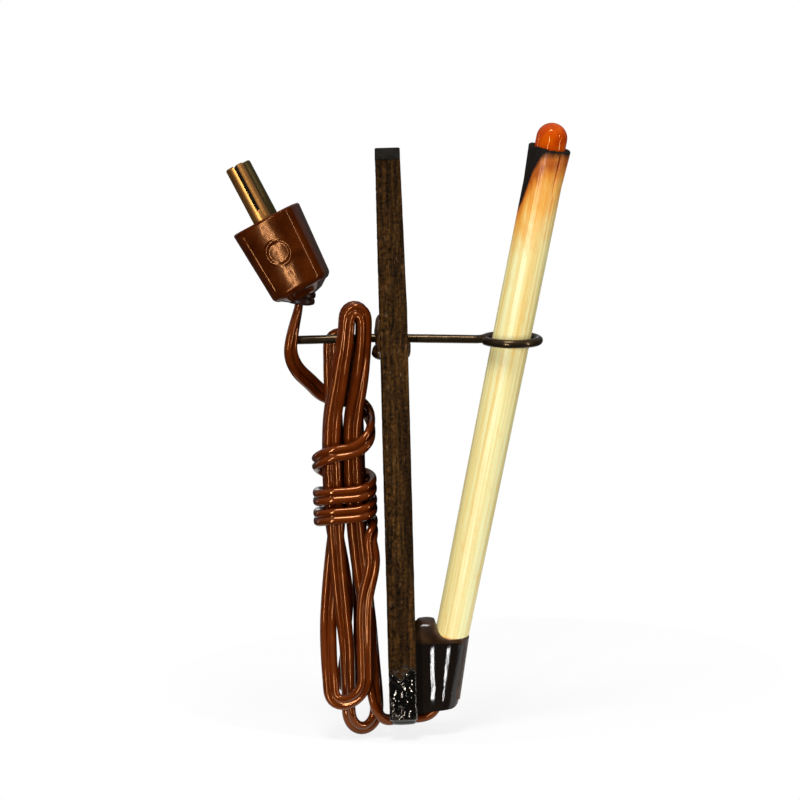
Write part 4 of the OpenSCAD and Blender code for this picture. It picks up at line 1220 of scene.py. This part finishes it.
class TORCH_OT_stage(bpy.types.Operator):
    """Stage: the camera at the photograph's angle, a pale floor, a white surround and soft lamps"""

    bl_idname = "torch.stage"
    bl_label = "Stage"

    def camera(self, scene):
        """A long lens 1.2 m away, 10 degrees up, turned 1.5 degrees about its axis, on a view 110 mm wide."""
        away, view, sensor = 1200, 109.59, 36
        data = bpy.data.cameras.new("camera")
        data.sensor_width, data.lens = sensor, sensor * away / view
        data.clip_start, data.clip_end = 0.05, 20
        e, roll = math.radians(10), math.radians(1.5)
        right, up = Vector((0, -1, 0)), Vector((math.sin(e), 0, math.cos(e)))
        back = Vector((-math.cos(e), 0, math.sin(e)))
        x = math.cos(roll) * right - math.sin(roll) * up
        y = math.sin(roll) * right + math.cos(roll) * up
        at = Vector((0, -2.585, -8.70)) * MM + back * (away * MM)
        scene.camera = placed("camera", data)
        scene.camera.matrix_world = Matrix.Translation(at) @ Matrix((x, y, back)).transposed().to_4x4()

    def floor(self, s):
        """A small square under the torch; for the eye it is mostly white where the shadow falls, and all
        white further out."""
        half, gap, white_at = 0.045, 0.0002, 0.036
        centre = Vector((0.036, -0.012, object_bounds()[0].z - gap))
        mesh = bpy.data.meshes.new("floor")
        corners = ((-1, -1, 0), (1, -1, 0), (1, 1, 0), (-1, 1, 0))
        mesh.from_pydata([centre + half * Vector(v) for v in corners], [], [(0, 1, 2, 3)])
        floor = placed("floor", mesh)
        pale, tree, shader = finish_of("Pale floor", Roughness=0.9, Specular_IOR_Level=0.1,
                                       Base_Color=s.floor)
        mesh.materials.append(pale)
        place = add(tree, "TexCoord").outputs["Object"]
        far = add(tree, "VectorMath", place, centre, operation="DISTANCE").outputs["Value"]
        mask = calc(tree, "MAXIMUM", past(tree, far, white_at, 117.0), 0.82)
        mask = calc(tree, "MULTIPLY", mask, calc(tree, "MAXIMUM", *rays(tree)))
        white = add(tree, "Emission", Strength=1.0)
        both = add(tree, "MixShader", mask, shader.outputs[0], white.outputs[0])
        feed(next(n for n in tree.nodes if n.type == "OUTPUT_MATERIAL"), 0, both.outputs[0])
        floor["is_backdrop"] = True

    def surround(self, s, scene):
        """White for the eye, and behind the torch for mirrored rays; else grey, and brighter overhead."""
        world = bpy.data.worlds.new("Surround")
        scene.world = world
        tree = tree_of(world)
        way = add(tree, "SeparateXYZ", add(tree, "TexCoord").outputs["Generated"]).outputs
        eye, mirrored = rays(tree)
        seen = calc(tree, "MAXIMUM", eye, calc(tree, "MULTIPLY", mirrored, past(tree, way["X"], 0.985, 80.0)))
        high = calc(tree, "MAXIMUM", way["Z"], 0.0)
        grey = calc(tree, "MULTIPLY_ADD", high, 2.5 * s.world, 0.35 * s.world)
        sky = add(tree, "Background", Color=WHITE, Strength=mix(tree, seen, grey, 1.0))
        add(tree, "OutputWorld", sky.outputs[0])

    def lamp(self, name, at, width, height, watts):
        """A rectangular lamp that looks at the torch; places and sizes are in metres."""
        data = bpy.data.lights.new(name, "AREA")
        data.shape = "RECTANGLE"
        data.size, data.size_y = width, height
        data.energy = watts
        obj = placed(name, data)
        obj.location = at
        obj.rotation_euler = (Vector((0, 0, -0.01)) - obj.location).to_track_quat("-Z", "Y").to_euler()

    def execute(self, context):
        scene = context.scene
        s = scene.torch_stage
        self.camera(scene)
        self.floor(s)
        self.surround(s, scene)
        self.lamp("overhead", (-0.35, 0.06, 0.95), 0.3, 0.3, s.key)
        self.lamp("left strip", (-0.82, 0.26, 0.0), 0.03, 0.7, s.strip)
        self.lamp("right strip", (-0.35, -0.78, 0.04), 0.03, 0.7, 0.6 * s.strip)
        self.lamp("rear strip", (0.3, 0.8, 0.1), 0.02, 0.5, 0.1 * s.strip)
        scene.view_settings.view_transform = "Standard"
        return {"FINISHED"}


class TORCH_PT_panel(bpy.types.Panel):
    """Lists the torch's pieces with their settings"""

    bl_idname = "TORCH_PT_panel"
    bl_label = "Wall torch"
    bl_space_type = "VIEW_3D"
    bl_region_type = "UI"
    bl_category = "Wall torch"

    def draw(self, context):
        for name, (group, operator) in GROUPS.items():
            box = self.layout.box()
            box.operator(operator.bl_idname)
            for key in group.__annotations__:
                box.prop(getattr(context.scene, name), key)


# In the order in which main calls the operators
GROUPS = {
    "torch_stage": (TorchStageSettings, TORCH_OT_stage),
    "torch_plug": (TorchPlugSettings, TORCH_OT_plug),
    "torch_flex": (TorchFlexSettings, TORCH_OT_flex),
    "torch_board": (TorchBoardSettings, TORCH_OT_board),
    "torch_wire": (TorchWireSettings, TORCH_OT_wire),
    "torch_rod": (TorchRodSettings, TORCH_OT_rod),
    "torch_foot": (TorchFootSettings, TORCH_OT_foot),
    "torch_bulb": (TorchBulbSettings, TORCH_OT_bulb),
    "torch_glue": (TorchGlueSettings, TORCH_OT_glue),
}


def register():
    """Registers the settings, the operators and the panel."""
    for name, (group, operator) in GROUPS.items():
        bpy.utils.register_class(group)
        bpy.utils.register_class(operator)
        setattr(bpy.types.Scene, name, bpy.props.PointerProperty(type=group))
    bpy.utils.register_class(TORCH_PT_panel)


def unregister():
    """Takes them out again."""
    bpy.utils.unregister_class(TORCH_PT_panel)
    for name, (group, operator) in GROUPS.items():
        delattr(bpy.types.Scene, name)
        bpy.utils.unregister_class(operator)
        bpy.utils.unregister_class(group)


def main():
    """Builds everything in order."""
    register()
    bpy.ops.torch.stage()
    bpy.ops.torch.plug()
    bpy.ops.torch.flex()
    bpy.ops.torch.board()
    bpy.ops.torch.wire()
    bpy.ops.torch.rod()
    bpy.ops.torch.foot()
    bpy.ops.torch.bulb()
    bpy.ops.torch.glue()


if __name__ == "__main__":
    main()
